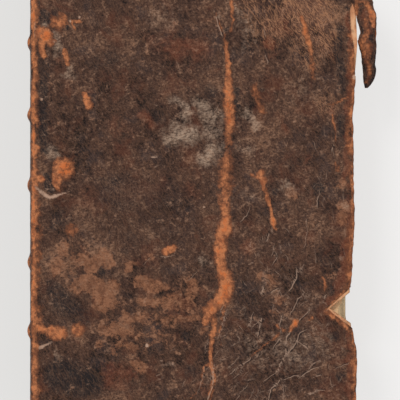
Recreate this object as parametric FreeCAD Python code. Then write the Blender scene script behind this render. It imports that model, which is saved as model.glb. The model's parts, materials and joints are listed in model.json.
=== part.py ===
import FreeCAD, Part
import math
import os

# Antique book in full leather, lying on its back cover with the front cover up.
# Units are millimetres. X runs from the spine to the fore edge, Y from tail to head,
# Z up. The origin is on the back cover's outer face, at the middle of its height.
#
# How it is made: folded leaves are sewn on five double cords that stand proud of the
# spine, the spine is rounded and backed so that its outer leaves form a ridge on
# each side, paper boards sit behind the ridges, the cord ends are laced through
# the boards, and one skin of leather goes over the boards, ridges and cords.
# The leather bends at the two joints, so it is cut there into three nodes.

# Covers
cover_height = 182.0        # head to tail, over the leather
hinge_x = -63.6             # the line at which the leather of a joint bends
fore_edge_x = 64.0          # plain fore edge, over the leather
leather_t = 0.8
board_t = 1.8               # paper board made of pasted sheets
turnin_t = 0.5              # leather pared thin where it is turned in
turnin_width = 12.0         # from the cover's edge to the end of the turn-in
paper_t = 0.2               # endpapers and spine linings
corner_r = 3.0              # worn corners, seen from above
edge_round = 1.0            # the leather's fold round a board's outer edge
edge_bevel = 0.6            # and round its inner edge
joint_slit = 0.1            # each side of the joint's bending line
board_setback = 0.8         # from the joint to the board's spine edge
pastedown_margin = 3.4      # leather that shows round the pastedown
fit_gap = 0.05              # round a cord in its channel, hole or bed
edge_bend_r = 25.0          # bends of the worn fore edge, seen from above
tiny = 0.001                # a length this small counts as none

# Leaves
leaves_t = 26.8
block_gap = 0.1             # between an endpaper and its pastedown
square_head = 2.4           # board beyond the leaves at head and tail
square_fore = 2.7           # cover beyond the leaves at the fore edge

# Spine
spine_r = 105.0             # roundness of the backed spine
ridge_r = 0.6               # roundness of the backing ridge
ridge_setback = 0.4         # from the joint to the middle of the ridge
ridge_foot_r = 0.6          # hollow between the ridge and the flat of the leaves
cap_depth = 1.5             # reach of the leather over the endband
cap_round = 1.2
panel_margin = 0.4          # from a spine lining to the foot of a raised band

# Sewing cords and the raised bands over them
band_ys = (59.4, 30.2, 1.9, -29.0, -56.8)
band_rise = 1.1
band_crest_r = 4.2          # outside of the leather over a band
band_hollow_r = 2.4         # fillet from the band to the panel
band_taper_deg = 2.0        # length of the slope at which a band dies out
band_headroom = 0.5
cord_d = 1.0
cord_spacing = 1.2          # between the two cords of one support
cord_sides = 8
core_runs = 4               # straight runs in which a core follows the spine
channel_d = 1.2             # room for the round cords in the leather, from the leaves
beaten_bed = 0.35           # the cord's flat end lies this deep in the leaves
beaten_rise = 0.45          # and stands this far out of them
beaten_overlap_deg = 0.4    # length by which the round cord runs into its flat end
slip_t = 0.8                # cord end, frayed and beaten flat
slip_width = 4.0
lace_width = 3.4            # the run on the board's inside
lace_hole_1 = 7.2           # from the joint to the first hole
lace_hole_2 = 17.2          # from the joint to the second hole
lace_hole_length = 3.0      # slots cut through the board with a chisel

# Endbands
endband_r = 1.1
endband_gap = 0.05

# Fore edges over the leather, as corners (y, x). The front one is worn out of true.
front_fore_edge = (
    (-91.0, 64.9), (-65.0, 65.2), (-54.0, 63.4), (-38.0, 62.9), (-13.0, 64.4),
    (30.0, 63.6), (58.0, 66.0), (91.0, 64.6),
)
back_fore_edge = ((-91.0, 62.9), (91.0, 62.9))

# Torn notch in the front cover's fore edge, as (x, y)
notch_tip = (52.9, -47.4)
notch_upper_bend = (58.4, -42.6)
notch_upper_end = (63.4, -38.4)
notch_lower_bend = (58.6, -51.8)
notch_lower_end = (63.6, -55.3)
notch_beyond = 4.0          # the cutting shape runs this far past the edge
notch_ledge = 1.3           # torn board that shows inside the torn leather
notch_ledge_side = 0.4      # the same, across the notch

# Where the leather of the fore edge is torn away, near the head, as (x, y)
tear_line = (
    (62.6, 75.0), (62.1, 71.6), (62.6, 62.8), (63.9, 56.8), (64.4, 51.0), (64.6, 45.6),
)

# The torn strip, by stations from head to tip: y, left x, right x, top z, curl
strip_t = 0.9
strip_curl = ((0.0, 0.0), (0.25, 0.8), (0.7, 0.9), (1.0, 0.0))    # (share of width, lift)
strip_stations = (
    (88.6, 61.5, 64.2, 33.93, 0.02),
    (80.8, 61.8, 69.0, 33.93, 0.04),
    (74.4, 62.8, 71.8, 33.75, 0.25),
    (68.6, 64.9, 73.3, 33.20, 0.70),
    (60.0, 65.9, 73.2, 32.00, 1.30),
    (51.6, 67.0, 73.0, 30.90, 1.40),
    (44.6, 67.7, 72.6, 30.00, 1.00),
    (41.0, 68.7, 69.7, 29.60, 0.15),
)

# Derived sizes
cover_t = leather_t + board_t + turnin_t + paper_t
block_bottom = cover_t + block_gap + paper_t
block_top = block_bottom + leaves_t
book_t = block_top + block_bottom
mid_z = book_t / 2
half_cover = cover_height / 2
half_board = half_cover - leather_t
half_block = half_board - square_head
leaf_fore_x = fore_edge_x - square_fore
board_outer = leather_t
board_inner = leather_t + board_t
turnin_inner = board_inner + turnin_t

skin_d = paper_t + leather_t
ridge_x = hinge_x - ridge_setback
ridge_dz = mid_z - leather_t - ridge_r - paper_t
spine_cx = ridge_x + math.sqrt((spine_r - ridge_r) ** 2 - ridge_dz ** 2)
ridge_angle = math.asin(ridge_dz / (spine_r - ridge_r))
taper_angle = ridge_angle - math.radians(band_taper_deg)
cord_angle = taper_angle + math.radians(beaten_overlap_deg)
channel_angle = cord_angle + 2 * fit_gap / spine_r
lip_x = ridge_x + ridge_r
foot_x = lip_x + ridge_foot_r
board_spine_x = hinge_x + board_setback
sweep_deg = 15.0            # half the turn of every revolved form, past the ridges
axis_base = FreeCAD.Vector(spine_cx, 0, mid_z)
axis_dir = FreeCAD.Vector(0, 1, 0)


def polar(radius, angle):
    """A point of the spine's cross-section, by its angle above the middle."""
    return FreeCAD.Vector(
        spine_cx - radius * math.cos(angle), 0, mid_z + radius * math.sin(angle)
    )


def section(x, z):
    return FreeCAD.Vector(x, 0, z)


def flipped(point):
    """The same point of the cross-section on the other cover's side."""
    return FreeCAD.Vector(point.x, point.y, book_t - point.z)


def line(a, b):
    return Part.LineSegment(a, b).toShape()


def arc(a, through, b):
    return Part.Arc(a, through, b).toShape()


def about(centre, radius, degrees):
    """A point of the cross-section at a distance and direction from another.

    The direction turns from the fore edge, at 0, over the top, at 90.
    """
    turn = math.radians(degrees)
    return centre + FreeCAD.Vector(radius * math.cos(turn), 0, radius * math.sin(turn))


def face_of(edges):
    return Part.Face(Part.Wire(Part.__sortEdges__(edges)))


def along_y(face, half_length):
    """A cross-section drawn out to the same length on both sides of the middle."""
    face.translate(FreeCAD.Vector(0, -half_length, 0))
    return face.extrude(FreeCAD.Vector(0, 2 * half_length, 0))


def box(x0, x1, y0, y1, z0, z1):
    corner = FreeCAD.Vector(x0, y0, z0)
    return Part.makeBox(x1 - x0, y1 - y0, z1 - z0, corner)


def on_front(shape):
    """Turns a piece built for the back cover into one for the front cover."""
    return shape.mirror(FreeCAD.Vector(0, 0, mid_z), FreeCAD.Vector(0, 0, 1))


def mirrored_edges(edges):
    """The lower half of a cross-section, from its upper half."""
    return [e.mirror(FreeCAD.Vector(0, 0, mid_z), FreeCAD.Vector(0, 0, 1)) for e in edges]


def swept(face, half_deg=sweep_deg):
    """Revolves a profile about the axis of the spine's roundness."""
    face.rotate(axis_base, axis_dir, -half_deg)
    return face.revolve(axis_base, axis_dir, 2 * half_deg)


# Leaves


def block_section():
    """Rounded and backed leaves: spine arc, a ridge at each side, hollow fore edge."""
    ridge = section(ridge_x, mid_z + ridge_dz)
    start = polar(spine_r, ridge_angle)
    lip = section(lip_x, mid_z + ridge_dz)
    foot_top = section(lip_x, block_top + ridge_foot_r)
    foot = section(foot_x, block_top)
    fore = section(leaf_fore_x, block_top)
    foot_centre = section(foot_x, block_top + ridge_foot_r)
    upper = [
        arc(start, about(ridge, ridge_r, 80), lip),
        line(lip, foot_top),
        arc(foot_top, about(foot_centre, ridge_foot_r, 225), foot),
        line(foot, fore),
    ]
    half = leaves_t / 2
    hollow = spine_r - math.sqrt(spine_r ** 2 - half ** 2)
    fore_arc = arc(fore, section(leaf_fore_x - hollow, mid_z), flipped(fore))
    spine_arc = arc(flipped(start), polar(spine_r, 0), start)
    return face_of(upper + mirrored_edges(upper) + [fore_arc, spine_arc])


def curved_core(ring, corner_radius, y, half_angle):
    """A core along the spine's roundness, in straight runs with mitred corners.

    ring gives the core's cross-section, from its centre and its direction.
    """
    step = 2 * half_angle / core_runs
    points = [polar(corner_radius, -half_angle + i * step) for i in range(core_runs + 1)]
    for point in points:
        point.y = y
    section_wire = ring(points[0], points[1] - points[0])
    right_corners = 1
    return Part.makePolygon(points).makePipeShell([section_wire], True, False, right_corners)


def cord_ring(centre, direction):
    """The cross-section of a laid cord, with flat sides that touch its circle."""
    across = FreeCAD.Vector(0, 1, 0)
    outward = across.cross(direction).normalize()
    corner_r_of_cord = cord_d / 2 / math.cos(math.pi / cord_sides)
    corners = []
    for i in range(cord_sides + 1):
        turn = 2 * math.pi * (i + 0.5) / cord_sides
        corners.append(
            centre + (across * math.cos(turn) + outward * math.sin(turn)) * corner_r_of_cord
        )
    return Part.makePolygon(corners)


def endband_ring(centre, direction):
    return Part.Wire(Part.makeCircle(endband_r, centre, direction))


def cord_pair(y):
    """Two cords side by side on the spine. Each run rests on the leaves at its middle."""
    rest = spine_r + fit_gap + cord_d / 2
    corner_radius = rest / math.cos(cord_angle / core_runs)
    sides = (y - cord_spacing / 2, y + cord_spacing / 2)
    return [curved_core(cord_ring, corner_radius, place, cord_angle) for place in sides]


def sector(inner, outer, first, last, y, half):
    """A piece of the spine's roundness between two radii and two angles."""
    middle = (first + last) / 2
    face = face_of([
        line(polar(inner, first), polar(outer, first)),
        arc(polar(outer, first), polar(outer, middle), polar(outer, last)),
        line(polar(outer, last), polar(inner, last)),
        arc(polar(inner, last), polar(inner, middle), polar(inner, first)),
    ])
    piece = along_y(face, half)
    piece.translate(FreeCAD.Vector(0, y, 0))
    return piece


def beaten_end(y, gap, x_end, z_end):
    """A cord's flat end: bedded in the spine, and across the upper ridge to x_end."""
    inner, outer = spine_r - beaten_bed - gap, spine_r + beaten_rise + gap
    first = taper_angle - gap / spine_r
    last = ridge_angle + math.radians(band_taper_deg)
    half = slip_width / 2 + gap
    bed = sector(inner, outer, first, last, y, half)
    z_low = book_t - leather_t - slip_t - gap
    across = box(ridge_x - spine_sag(), x_end, y - half, y + half, z_low, z_end)
    return bed.fuse(across).removeSplitter()


def spine_sag():
    """How far the middle of the spine stands out past the ridges' middle."""
    return ridge_x - polar(spine_r, 0).x + paper_t


def text_block():
    block = along_y(block_section(), half_block)
    for y in band_ys:
        # The notch runs on past the ridge's lip, to let the laced end through
        notch = beaten_end(y, fit_gap, foot_x, book_t)
        block = block.cut([notch, on_front(notch)])
    return block


def flyleaf():
    z0 = block_bottom - paper_t
    return box(foot_x, leaf_fore_x, -half_block, half_block, z0, block_bottom)


# Spine


def band_edges(y, base):
    """One raised band in the (radius, y) plane: hollow, crest and hollow arcs."""
    rise = band_hollow_r + band_crest_r - band_rise
    reach = math.sqrt((band_hollow_r + band_crest_r) ** 2 - rise ** 2)
    crest = base + band_rise - band_crest_r
    share = band_crest_r / (band_crest_r + band_hollow_r)
    feet, bends, meets = [], [], []
    for side in (-1, 1):
        # Halfway round the hollow arc
        to_crest = math.atan2(-side * reach, -rise)
        half_turn = (math.pi * -side + to_crest) / 2
        feet.append((base, y + side * reach))
        bends.append((
            base + band_hollow_r * (1 + math.cos(half_turn)),
            y + side * reach + band_hollow_r * math.sin(half_turn),
        ))
        meets.append((crest + rise * share, y + side * reach * share))
    top = (base + band_rise, y)
    arcs = [
        (feet[0], bends[0], meets[0]),
        (meets[0], top, meets[1]),
        (meets[1], bends[1], feet[1]),
    ]
    return arcs, feet[0], feet[1]


def on_profile(point):
    """From (radius, y) to the plane through the spine's axis and its middle."""
    return FreeCAD.Vector(spine_cx - point[0], point[1], mid_z)


def spine_form():
    """The revolved form of the leather's outer face, with a rise at every band."""
    base = spine_r + skin_d
    inner_r = spine_r - cap_depth
    edges = []
    last = (base, -half_cover + cap_round)
    for y in sorted(band_ys):
        arcs, low_foot, high_foot = band_edges(y, base)
        edges.append(line(on_profile(last), on_profile(low_foot)))
        edges += [arc(*[on_profile(p) for p in points]) for points in arcs]
        last = high_foot
    edges.append(line(on_profile(last), on_profile((base, half_cover - cap_round))))
    slant = cap_round * math.sqrt(0.5)
    for side in (-1, 1):
        flat = (base, side * (half_cover - cap_round))
        bend = (base - cap_round + slant, side * (half_cover - cap_round + slant))
        end = (base - cap_round, side * half_cover)
        edges.append(arc(on_profile(flat), on_profile(bend), on_profile(end)))
        edges.append(line(on_profile(end), on_profile((inner_r, side * half_cover))))
    edges.append(line(on_profile((inner_r, -half_cover)), on_profile((inner_r, half_cover))))
    return swept(face_of(edges))


def spine_outline(depth, x_end, slope=0.0):
    """Cross-section that bounds one face of the spine's leather.

    depth is how far that face lies outside the leaves. A slope at both ends lets
    each raised band die out before it reaches the ridge.
    """
    ridge = section(ridge_x, mid_z + ridge_dz)
    top = about(ridge, ridge_r + depth, 90)
    start = polar(spine_r + depth, ridge_angle)
    bend = about(ridge, ridge_r + depth, 130)
    end = section(x_end, top.z)
    upper = [line(end, top), arc(top, bend, start)]
    last = start
    if slope:
        last = polar(spine_r + depth + slope, taper_angle)
        upper.append(line(start, last))
    middle = polar(spine_r + depth + slope, 0)
    closing = [arc(last, middle, flipped(last)), line(end, flipped(end))]
    return face_of(upper + mirrored_edges(upper) + closing)


def inner_form(half_y, gap):
    """All that lies inside the spine's leather: leaves, linings and cords, less a gap."""
    form = along_y(spine_outline(paper_t - gap, foot_x), half_y)
    channels = []
    round_half = (cord_spacing + cord_d) / 2 + 2 * fit_gap - gap
    flat_half = slip_width / 2 + 2 * fit_gap - gap
    deep, shallow = spine_r + channel_d - gap, spine_r + beaten_rise + 2 * fit_gap - gap
    for y in band_ys:
        channels.append(sector(spine_r, deep, -channel_angle, channel_angle, y, round_half))
        channels.append(sector(spine_r, shallow, -ridge_angle, ridge_angle, y, flat_half))
    return form.fuse(channels)


def spine_leather():
    slope = band_rise + band_headroom
    outline = along_y(spine_outline(skin_d, hinge_x - joint_slit, slope), half_cover)
    return outline.common(spine_form()).cut(inner_form(half_cover - leather_t, 0))


def sewing_cord(y):
    """A double cord on the spine, with both ends beaten flat over the ridges."""
    end = beaten_end(y, 0, hinge_x - joint_slit, book_t - leather_t)
    ends = end.fuse(on_front(end)).common(inner_form(half_board, fit_gap))
    return ends.fuse(cord_pair(y)).removeSplitter()


def spine_lining(y_low, y_high):
    """Paper pasted on the spine between two raised bands."""
    corners = [
        (spine_r, y_low), (spine_r + paper_t, y_low),
        (spine_r + paper_t, y_high), (spine_r, y_high),
    ]
    points = [on_profile(c) for c in corners]
    edges = [line(points[i - 1], points[i]) for i in range(4)]
    return swept(face_of(edges), math.degrees(ridge_angle))


def lining_spans():
    """The panels of the spine: from head to tail, between the bands' feet."""
    rise = band_hollow_r + band_crest_r - band_rise
    reach = math.sqrt((band_hollow_r + band_crest_r) ** 2 - rise ** 2) + panel_margin
    tops = [half_block] + [y - reach for y in band_ys]
    lows = [y + reach for y in band_ys] + [-half_block]
    return list(zip(lows, tops))


def endband(side):
    """A wound core that stands on the leaves at the head or the tail of the spine."""
    y = side * (half_block + endband_r)
    span = math.asin((leaves_t / 2 - endband_gap) / spine_r)
    return curved_core(endband_ring, spine_r - endband_r - endband_gap, y, span)


# Covers, built as the back cover is: outer face at z 0, leaves above it


def cover_prism(fore_edge, inset, x_start, z0, z1, round_r):
    """A cover's shape seen from above, taken in by inset on its three free sides."""
    half = half_cover - inset
    places = [(max(-half, min(half, y)), x - inset) for y, x in fore_edge]
    points = [FreeCAD.Vector(x, y, z0) for y, x in places]
    points += [FreeCAD.Vector(x_start, half, z0), FreeCAD.Vector(x_start, -half, z0)]
    outline = Part.makePolygon(points + points[:1])
    prism = Part.Face(outline).extrude(FreeCAD.Vector(0, 0, z1 - z0))
    uprights = [e for e in prism.Edges if is_upright(e) and e.Vertexes[0].X > 0]
    bends = [e for e in uprights if abs(e.Vertexes[0].Y) < half - tiny]
    corners = [e for e in uprights if abs(e.Vertexes[0].Y) > half - tiny]
    if bends:
        prism = prism.makeFillet(edge_bend_r, bends)
        uprights = [e for e in prism.Edges if is_upright(e) and e.Vertexes[0].X > 0]
        corners = [e for e in uprights if abs(e.Vertexes[0].Y) > half - tiny]
    return prism.makeFillet(round_r, corners)


def is_upright(edge):
    a, b = edge.Vertexes[0].Point, edge.Vertexes[-1].Point
    return abs(a.x - b.x) + abs(a.y - b.y) < tiny and abs(a.z - b.z) > tiny


def rim(prism, z):
    """The edges of a cover's rim at a height, apart from its side at the joint."""
    x_start = prism.BoundBox.XMin
    found = []
    for edge in prism.Edges:
        bounds = edge.BoundBox
        flat = bounds.ZLength < tiny and abs(bounds.ZMin - z) < tiny
        if flat and bounds.XMax > x_start + 2 * tiny:
            found.append(edge)
    return found


def board_shape(fore_edge):
    return cover_prism(
        fore_edge, leather_t, board_spine_x, board_outer, board_inner,
        corner_r - leather_t,
    )


def window(taken_in, z0, z1):
    """The inside of a cover that the turn-ins leave free. It is open to the joint."""
    half = half_cover - turnin_width - taken_in
    right = fore_edge_x - turnin_width - taken_in
    return box(2 * hinge_x, right, -half, half, z0, z1)


def board(fore_edge):
    """A paper board with channels and holes for the five laced cord ends."""
    plate = board_shape(fore_edge)
    for y in band_ys:
        plate = plate.cut(laced_slip(y, fit_gap))
    return plate


def laced_slip(y, gap=0.0):
    """A cord end laced through a board: in by one slot, out by the next."""
    x1 = hinge_x + lace_hole_1
    x2 = hinge_x + lace_hole_2
    z_out, z_in = board_outer - gap, board_inner + gap
    half = slip_width / 2 + gap
    lace = lace_width / 2 + gap
    slot = lace_hole_length / 2 + gap
    run = box(
        hinge_x + joint_slit - gap, x1, y - half, y + half,
        z_out, board_outer + slip_t + gap,
    )
    back_run = box(x1, x2, y - lace, y + lace, board_inner - slip_t - gap, z_in)
    plug_1 = box(x1 - slot, x1 + slot, y - half, y + half, z_out, z_in)
    plug_2 = box(x2 - slot, x2 + slot, y - lace, y + lace, z_out, z_in)
    return run.fuse([plug_1, back_run, plug_2]).removeSplitter()


def cover_leather(fore_edge, cuts=(), flaps=()):
    """The leather of one cover: outer face, folded edges and turn-ins.

    cuts are torn away before flaps are added, so a torn flap stays whole.
    """
    x_start = hinge_x + joint_slit
    skin = cover_prism(fore_edge, 0, x_start, 0, turnin_inner, corner_r)
    skin = skin.makeFillet(edge_round, rim(skin, 0))
    skin = skin.makeChamfer(edge_bevel, rim(skin, turnin_inner))
    for cut in cuts:
        skin = skin.cut(cut)
    for flap in flaps:
        skin = skin.fuse(flap)
    cavity = cover_prism(
        fore_edge, leather_t, 2 * hinge_x, board_outer, board_inner,
        corner_r - leather_t,
    )
    skin = skin.cut(cavity)
    # The turn-ins stop short of the joint, clear of the ridge
    at_joint = box(
        2 * hinge_x, board_spine_x, -half_board, half_board, board_outer, 2 * turnin_inner,
    )
    skin = skin.cut(at_joint)
    return skin.cut(window(0, board_inner - turnin_t, 2 * turnin_inner))


def pastedown():
    """Endpaper pasted on a board: over the turn-ins, and down to the board inside."""
    edge_y = half_cover - pastedown_margin
    edge_x = fore_edge_x - pastedown_margin
    sheet = box(board_spine_x, edge_x, -edge_y, edge_y, board_inner, cover_t)
    over_turnins = box(
        2 * hinge_x, 2 * fore_edge_x, -half_cover, half_cover, board_inner, turnin_inner,
    ).cut(window(0, board_inner, turnin_inner))
    hollow = window(paper_t, board_inner + paper_t, 2 * cover_t)
    return sheet.cut(over_turnins).cut(hollow)


# Damage to the front cover


def notch_cutter(ledge=0.0, side_ledge=0.0):
    """The torn notch at the fore edge. A ledge at its tip and sides makes it smaller."""
    far = front_fore_edge[0][1] + notch_beyond
    (tip_x, tip_y) = notch_tip

    def point(place, way):
        return FreeCAD.Vector(place[0] + ledge, place[1] + way * side_ledge, -cover_t)

    tip = FreeCAD.Vector(tip_x + ledge, tip_y, -cover_t)
    upper_end, lower_end = point(notch_upper_end, -1), point(notch_lower_end, 1)
    upper_far = FreeCAD.Vector(far, upper_end.y + notch_beyond / 2, -cover_t)
    lower_far = FreeCAD.Vector(far, lower_end.y - notch_beyond / 2, -cover_t)
    sides = [
        arc(tip, point(notch_upper_bend, -1), upper_end),
        line(upper_end, upper_far),
        line(upper_far, lower_far),
        line(lower_far, lower_end),
        arc(lower_end, point(notch_lower_bend, 1), tip),
    ]
    return face_of(sides).extrude(FreeCAD.Vector(0, 0, 3 * cover_t))


def tear_cutter():
    """Takes the leather off the fore edge beside the strip that tore away."""
    far = front_fore_edge[0][1] + notch_beyond
    tear = [FreeCAD.Vector(x, y, -cover_t) for x, y in tear_line]
    beyond = [FreeCAD.Vector(far, point.y, point.z) for point in (tear[-1], tear[0])]
    outline = Part.makePolygon(tear + beyond + tear[:1])
    return Part.Face(outline).extrude(FreeCAD.Vector(0, 0, 3 * cover_t))


def strip_ring(y, left, right, top_z, curl):
    """One cross-section of the strip: a band of leather curled along its length."""
    z_out = book_t - top_z
    outer = [
        FreeCAD.Vector(left + share * (right - left), y, z_out - lift * curl)
        for share, lift in strip_curl
    ]
    inner = [FreeCAD.Vector(p.x, y, p.z + strip_t) for p in reversed(outer)]
    return Part.makePolygon(outer + inner + outer[:1])


def torn_strip():
    """Leather torn from the fore edge. Its root is at the head, and it hangs free."""
    rings = [strip_ring(*station) for station in strip_stations]
    return Part.makeLoft(rings, True, True)


# The nodes


def build():
    nodes = {
        "text_block": text_block(),
        "back_flyleaf": flyleaf(),
        "front_flyleaf": on_front(flyleaf()),
        "spine_leather": spine_leather(),
        "head_endband": endband(1),
        "tail_endband": endband(-1),
    }
    for number, y in enumerate(band_ys, start=1):
        slip = laced_slip(y)
        nodes[f"sewing_cord_{number}"] = sewing_cord(y)
        nodes[f"back_laced_slip_{number}"] = slip
        nodes[f"front_laced_slip_{number}"] = on_front(slip)
    for number, (y_low, y_high) in enumerate(lining_spans(), start=1):
        nodes[f"spine_lining_{number}"] = spine_lining(y_low, y_high)

    nodes["back_board"] = board(back_fore_edge)
    nodes["back_leather"] = cover_leather(back_fore_edge)
    nodes["back_pastedown"] = pastedown()

    ledge_cut = notch_cutter(notch_ledge, notch_ledge_side)
    nodes["front_board"] = on_front(board(front_fore_edge).cut(ledge_cut))
    nodes["front_pastedown"] = on_front(pastedown().cut(ledge_cut))
    torn = cover_leather(front_fore_edge, [tear_cutter()], [torn_strip()])
    nodes["front_leather"] = on_front(torn.cut(notch_cutter()))
    return nodes


def main():
    os.makedirs("parts", exist_ok=True)
    for name, shape in build().items():
        shape.exportStep(os.path.join("parts", name + ".step"))
        solids = len(shape.Solids)
        print(f"{name}: {solids} solid(s), {shape.Volume:.1f} mm3, valid {shape.isValid()}")


main()
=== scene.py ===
import json
import math
import random

import bmesh
import bpy
import numpy as np
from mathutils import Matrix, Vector, noise

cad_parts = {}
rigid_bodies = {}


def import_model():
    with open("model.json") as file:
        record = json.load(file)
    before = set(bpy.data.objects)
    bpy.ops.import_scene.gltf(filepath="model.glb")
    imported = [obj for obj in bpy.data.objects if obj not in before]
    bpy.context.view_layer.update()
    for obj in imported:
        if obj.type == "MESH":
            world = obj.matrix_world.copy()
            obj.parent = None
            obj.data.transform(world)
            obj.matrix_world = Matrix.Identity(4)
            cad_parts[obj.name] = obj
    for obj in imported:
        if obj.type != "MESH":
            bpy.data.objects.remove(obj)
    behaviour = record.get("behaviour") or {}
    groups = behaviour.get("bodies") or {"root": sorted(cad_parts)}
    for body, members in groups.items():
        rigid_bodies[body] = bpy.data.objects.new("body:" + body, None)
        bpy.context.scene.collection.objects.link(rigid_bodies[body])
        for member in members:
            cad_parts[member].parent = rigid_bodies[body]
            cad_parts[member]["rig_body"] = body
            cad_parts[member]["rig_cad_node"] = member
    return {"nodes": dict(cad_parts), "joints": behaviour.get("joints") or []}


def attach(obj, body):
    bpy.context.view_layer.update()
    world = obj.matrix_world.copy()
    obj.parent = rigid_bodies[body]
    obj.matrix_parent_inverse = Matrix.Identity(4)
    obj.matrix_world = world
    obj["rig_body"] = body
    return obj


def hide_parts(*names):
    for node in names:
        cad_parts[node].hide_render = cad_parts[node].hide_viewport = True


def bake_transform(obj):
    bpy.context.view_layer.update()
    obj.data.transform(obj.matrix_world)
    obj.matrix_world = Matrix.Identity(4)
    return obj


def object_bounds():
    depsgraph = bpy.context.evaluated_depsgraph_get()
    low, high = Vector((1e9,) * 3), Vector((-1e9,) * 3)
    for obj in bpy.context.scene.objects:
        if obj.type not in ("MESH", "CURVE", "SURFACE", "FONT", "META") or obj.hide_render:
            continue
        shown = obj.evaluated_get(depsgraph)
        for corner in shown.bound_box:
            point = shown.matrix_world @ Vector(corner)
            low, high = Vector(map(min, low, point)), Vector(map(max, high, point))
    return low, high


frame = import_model()
cad_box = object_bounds()
bpy.ops.object.select_all(action="DESELECT")

# The table top that the book lies on, the soft light over it and the view
# straight down on the front cover. None of this is part of the book.

mm = 0.001
TABLE_SIZE = 4.0
VIEW_HEIGHT = 1034 * mm
VIEW_CENTRE = (2.2 * mm, -4.0 * mm)
VIEW_WIDTH = 160 * mm
COVER_TOP = 34 * mm
SENSOR = 36.0


def colour(red, green, blue):
    """A colour as it looks on a screen, from 0 to 255, as Blender's own values."""
    parts = [c / 255 for c in (red, green, blue)]
    return [c / 12.92 if c <= 0.04045 else ((c + 0.055) / 1.055) ** 2.4 for c in parts] + [1.0]


def new_material(name, roughness):
    """An empty material: its node tree and its shader."""
    material = bpy.data.materials.new(name)
    material.use_nodes = True
    tree = material.node_tree
    shader = tree.nodes["Principled BSDF"]
    shader.inputs["Roughness"].default_value = roughness
    return material, tree, shader


def fill(tree, socket, value):
    """Puts a number, a colour or another node's output into a socket."""
    if isinstance(value, bpy.types.NodeSocket):
        tree.links.new(value, socket)
    else:
        socket.default_value = value


def place_on(tree, stretch=(1, 1, 1), turn=0.0):
    """The place on the piece, for a pattern that is stretched by factors and turned about Z."""
    where = tree.nodes.new("ShaderNodeTexCoord").outputs["Object"]
    mapping = tree.nodes.new("ShaderNodeMapping")
    mapping.vector_type = "TEXTURE"
    mapping.inputs["Scale"].default_value = stretch
    mapping.inputs["Rotation"].default_value = (0, 0, turn)
    tree.links.new(where, mapping.inputs["Vector"])
    return mapping.outputs["Vector"]


def mottle(tree, where, size, detail=3.0, rough=0.55, twist=0.0):
    """Noise from 0 to 1, with features of about the given size in metres."""
    pattern = tree.nodes.new("ShaderNodeTexNoise")
    pattern.inputs["Scale"].default_value = 1 / size
    pattern.inputs["Detail"].default_value = detail
    pattern.inputs["Roughness"].default_value = rough
    pattern.inputs["Distortion"].default_value = twist
    tree.links.new(where, pattern.inputs["Vector"])
    return pattern.outputs["Fac"]


def step(tree, value, low, high, to_low=0.0, to_high=1.0):
    """A smooth step of a value between low and high."""
    ease = tree.nodes.new("ShaderNodeMapRange")
    ease.interpolation_type = "SMOOTHSTEP"
    for name, number in zip(("From Min", "From Max", "To Min", "To Max"), (low, high, to_low, to_high)):
        ease.inputs[name].default_value = number
    tree.links.new(value, ease.inputs["Value"])
    return ease.outputs["Result"]


def sums(tree, operation, a, b=0.0):
    node = tree.nodes.new("ShaderNodeMath")
    node.operation = operation
    fill(tree, node.inputs[0], a)
    fill(tree, node.inputs[1], b)
    return node.outputs[0]


def tint(tree, share, under, over, blend="MIX"):
    """Lays the colour over on the colour under, by a share from 0 to 1."""
    node = tree.nodes.new("ShaderNodeMix")
    node.data_type = "RGBA"
    node.blend_type = blend
    fill(tree, node.inputs["Factor"], share)
    fill(tree, node.inputs[6], under)
    fill(tree, node.inputs[7], over)
    return node.outputs[2]


def painted(tree, name):
    """A value that is stored on the piece's own points."""
    node = tree.nodes.new("ShaderNodeAttribute")
    node.attribute_name = name
    return node.outputs["Fac"]


def relief(tree, shader, heights):
    """Chains bumps, each a pair of a height from 0 to 1 and its depth in metres."""
    normal = None
    for height, depth in heights:
        bump = tree.nodes.new("ShaderNodeBump")
        bump.inputs["Distance"].default_value = depth
        tree.links.new(height, bump.inputs["Height"])
        if normal:
            tree.links.new(normal, bump.inputs["Normal"])
        normal = bump.outputs["Normal"]
    tree.links.new(normal, shader.inputs["Normal"])


bpy.ops.mesh.primitive_plane_add(size=TABLE_SIZE)
table = bpy.context.object
table.name = "table_top"
table_paper, tree, shader = new_material("pale_table", 0.9)
across = tree.nodes.new("ShaderNodeSeparateXYZ")
tree.links.new(place_on(tree), across.inputs[0])
# Painted light: the table is painted darker on the left and brighter on the right, as a falloff of the light
# across it.
side = step(tree, across.outputs["X"], -0.08, 0.09)
paper = tint(tree, side, colour(229, 228, 226), colour(242, 241, 240))
fill(tree, shader.inputs["Base Color"], paper)
glow = tree.nodes.new("ShaderNodeEmission")
tree.links.new(paper, glow.inputs["Color"])
ray = tree.nodes.new("ShaderNodeLightPath")
seen = sums(tree, "MAXIMUM", ray.outputs["Is Camera Ray"], ray.outputs["Is Glossy Ray"])
seen = sums(tree, "MAXIMUM", seen, ray.outputs["Is Transmission Ray"])
blend = tree.nodes.new("ShaderNodeMixShader")
tree.links.new(sums(tree, "MULTIPLY", seen, 0.8), blend.inputs[0])
tree.links.new(shader.outputs[0], blend.inputs[1])
tree.links.new(glow.outputs[0], blend.inputs[2])
tree.links.new(blend.outputs[0], tree.nodes["Material Output"].inputs["Surface"])
table.data.materials.append(table_paper)

world = bpy.data.worlds.new("room")
world.use_nodes = True
world.node_tree.nodes["Background"].inputs["Color"].default_value = colour(250, 250, 252)
world.node_tree.nodes["Background"].inputs["Strength"].default_value = 0.62
bpy.context.scene.world = world

light_tilt = (math.radians(-28), math.radians(-24), 0)
bpy.ops.object.light_add(type="SUN", location=(-0.4, 0.5, 1.0), rotation=light_tilt)
key_light = bpy.context.object
key_light.name = "window_light"
key_light.data.energy = 1.35
key_light.data.angle = math.radians(18)

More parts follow.
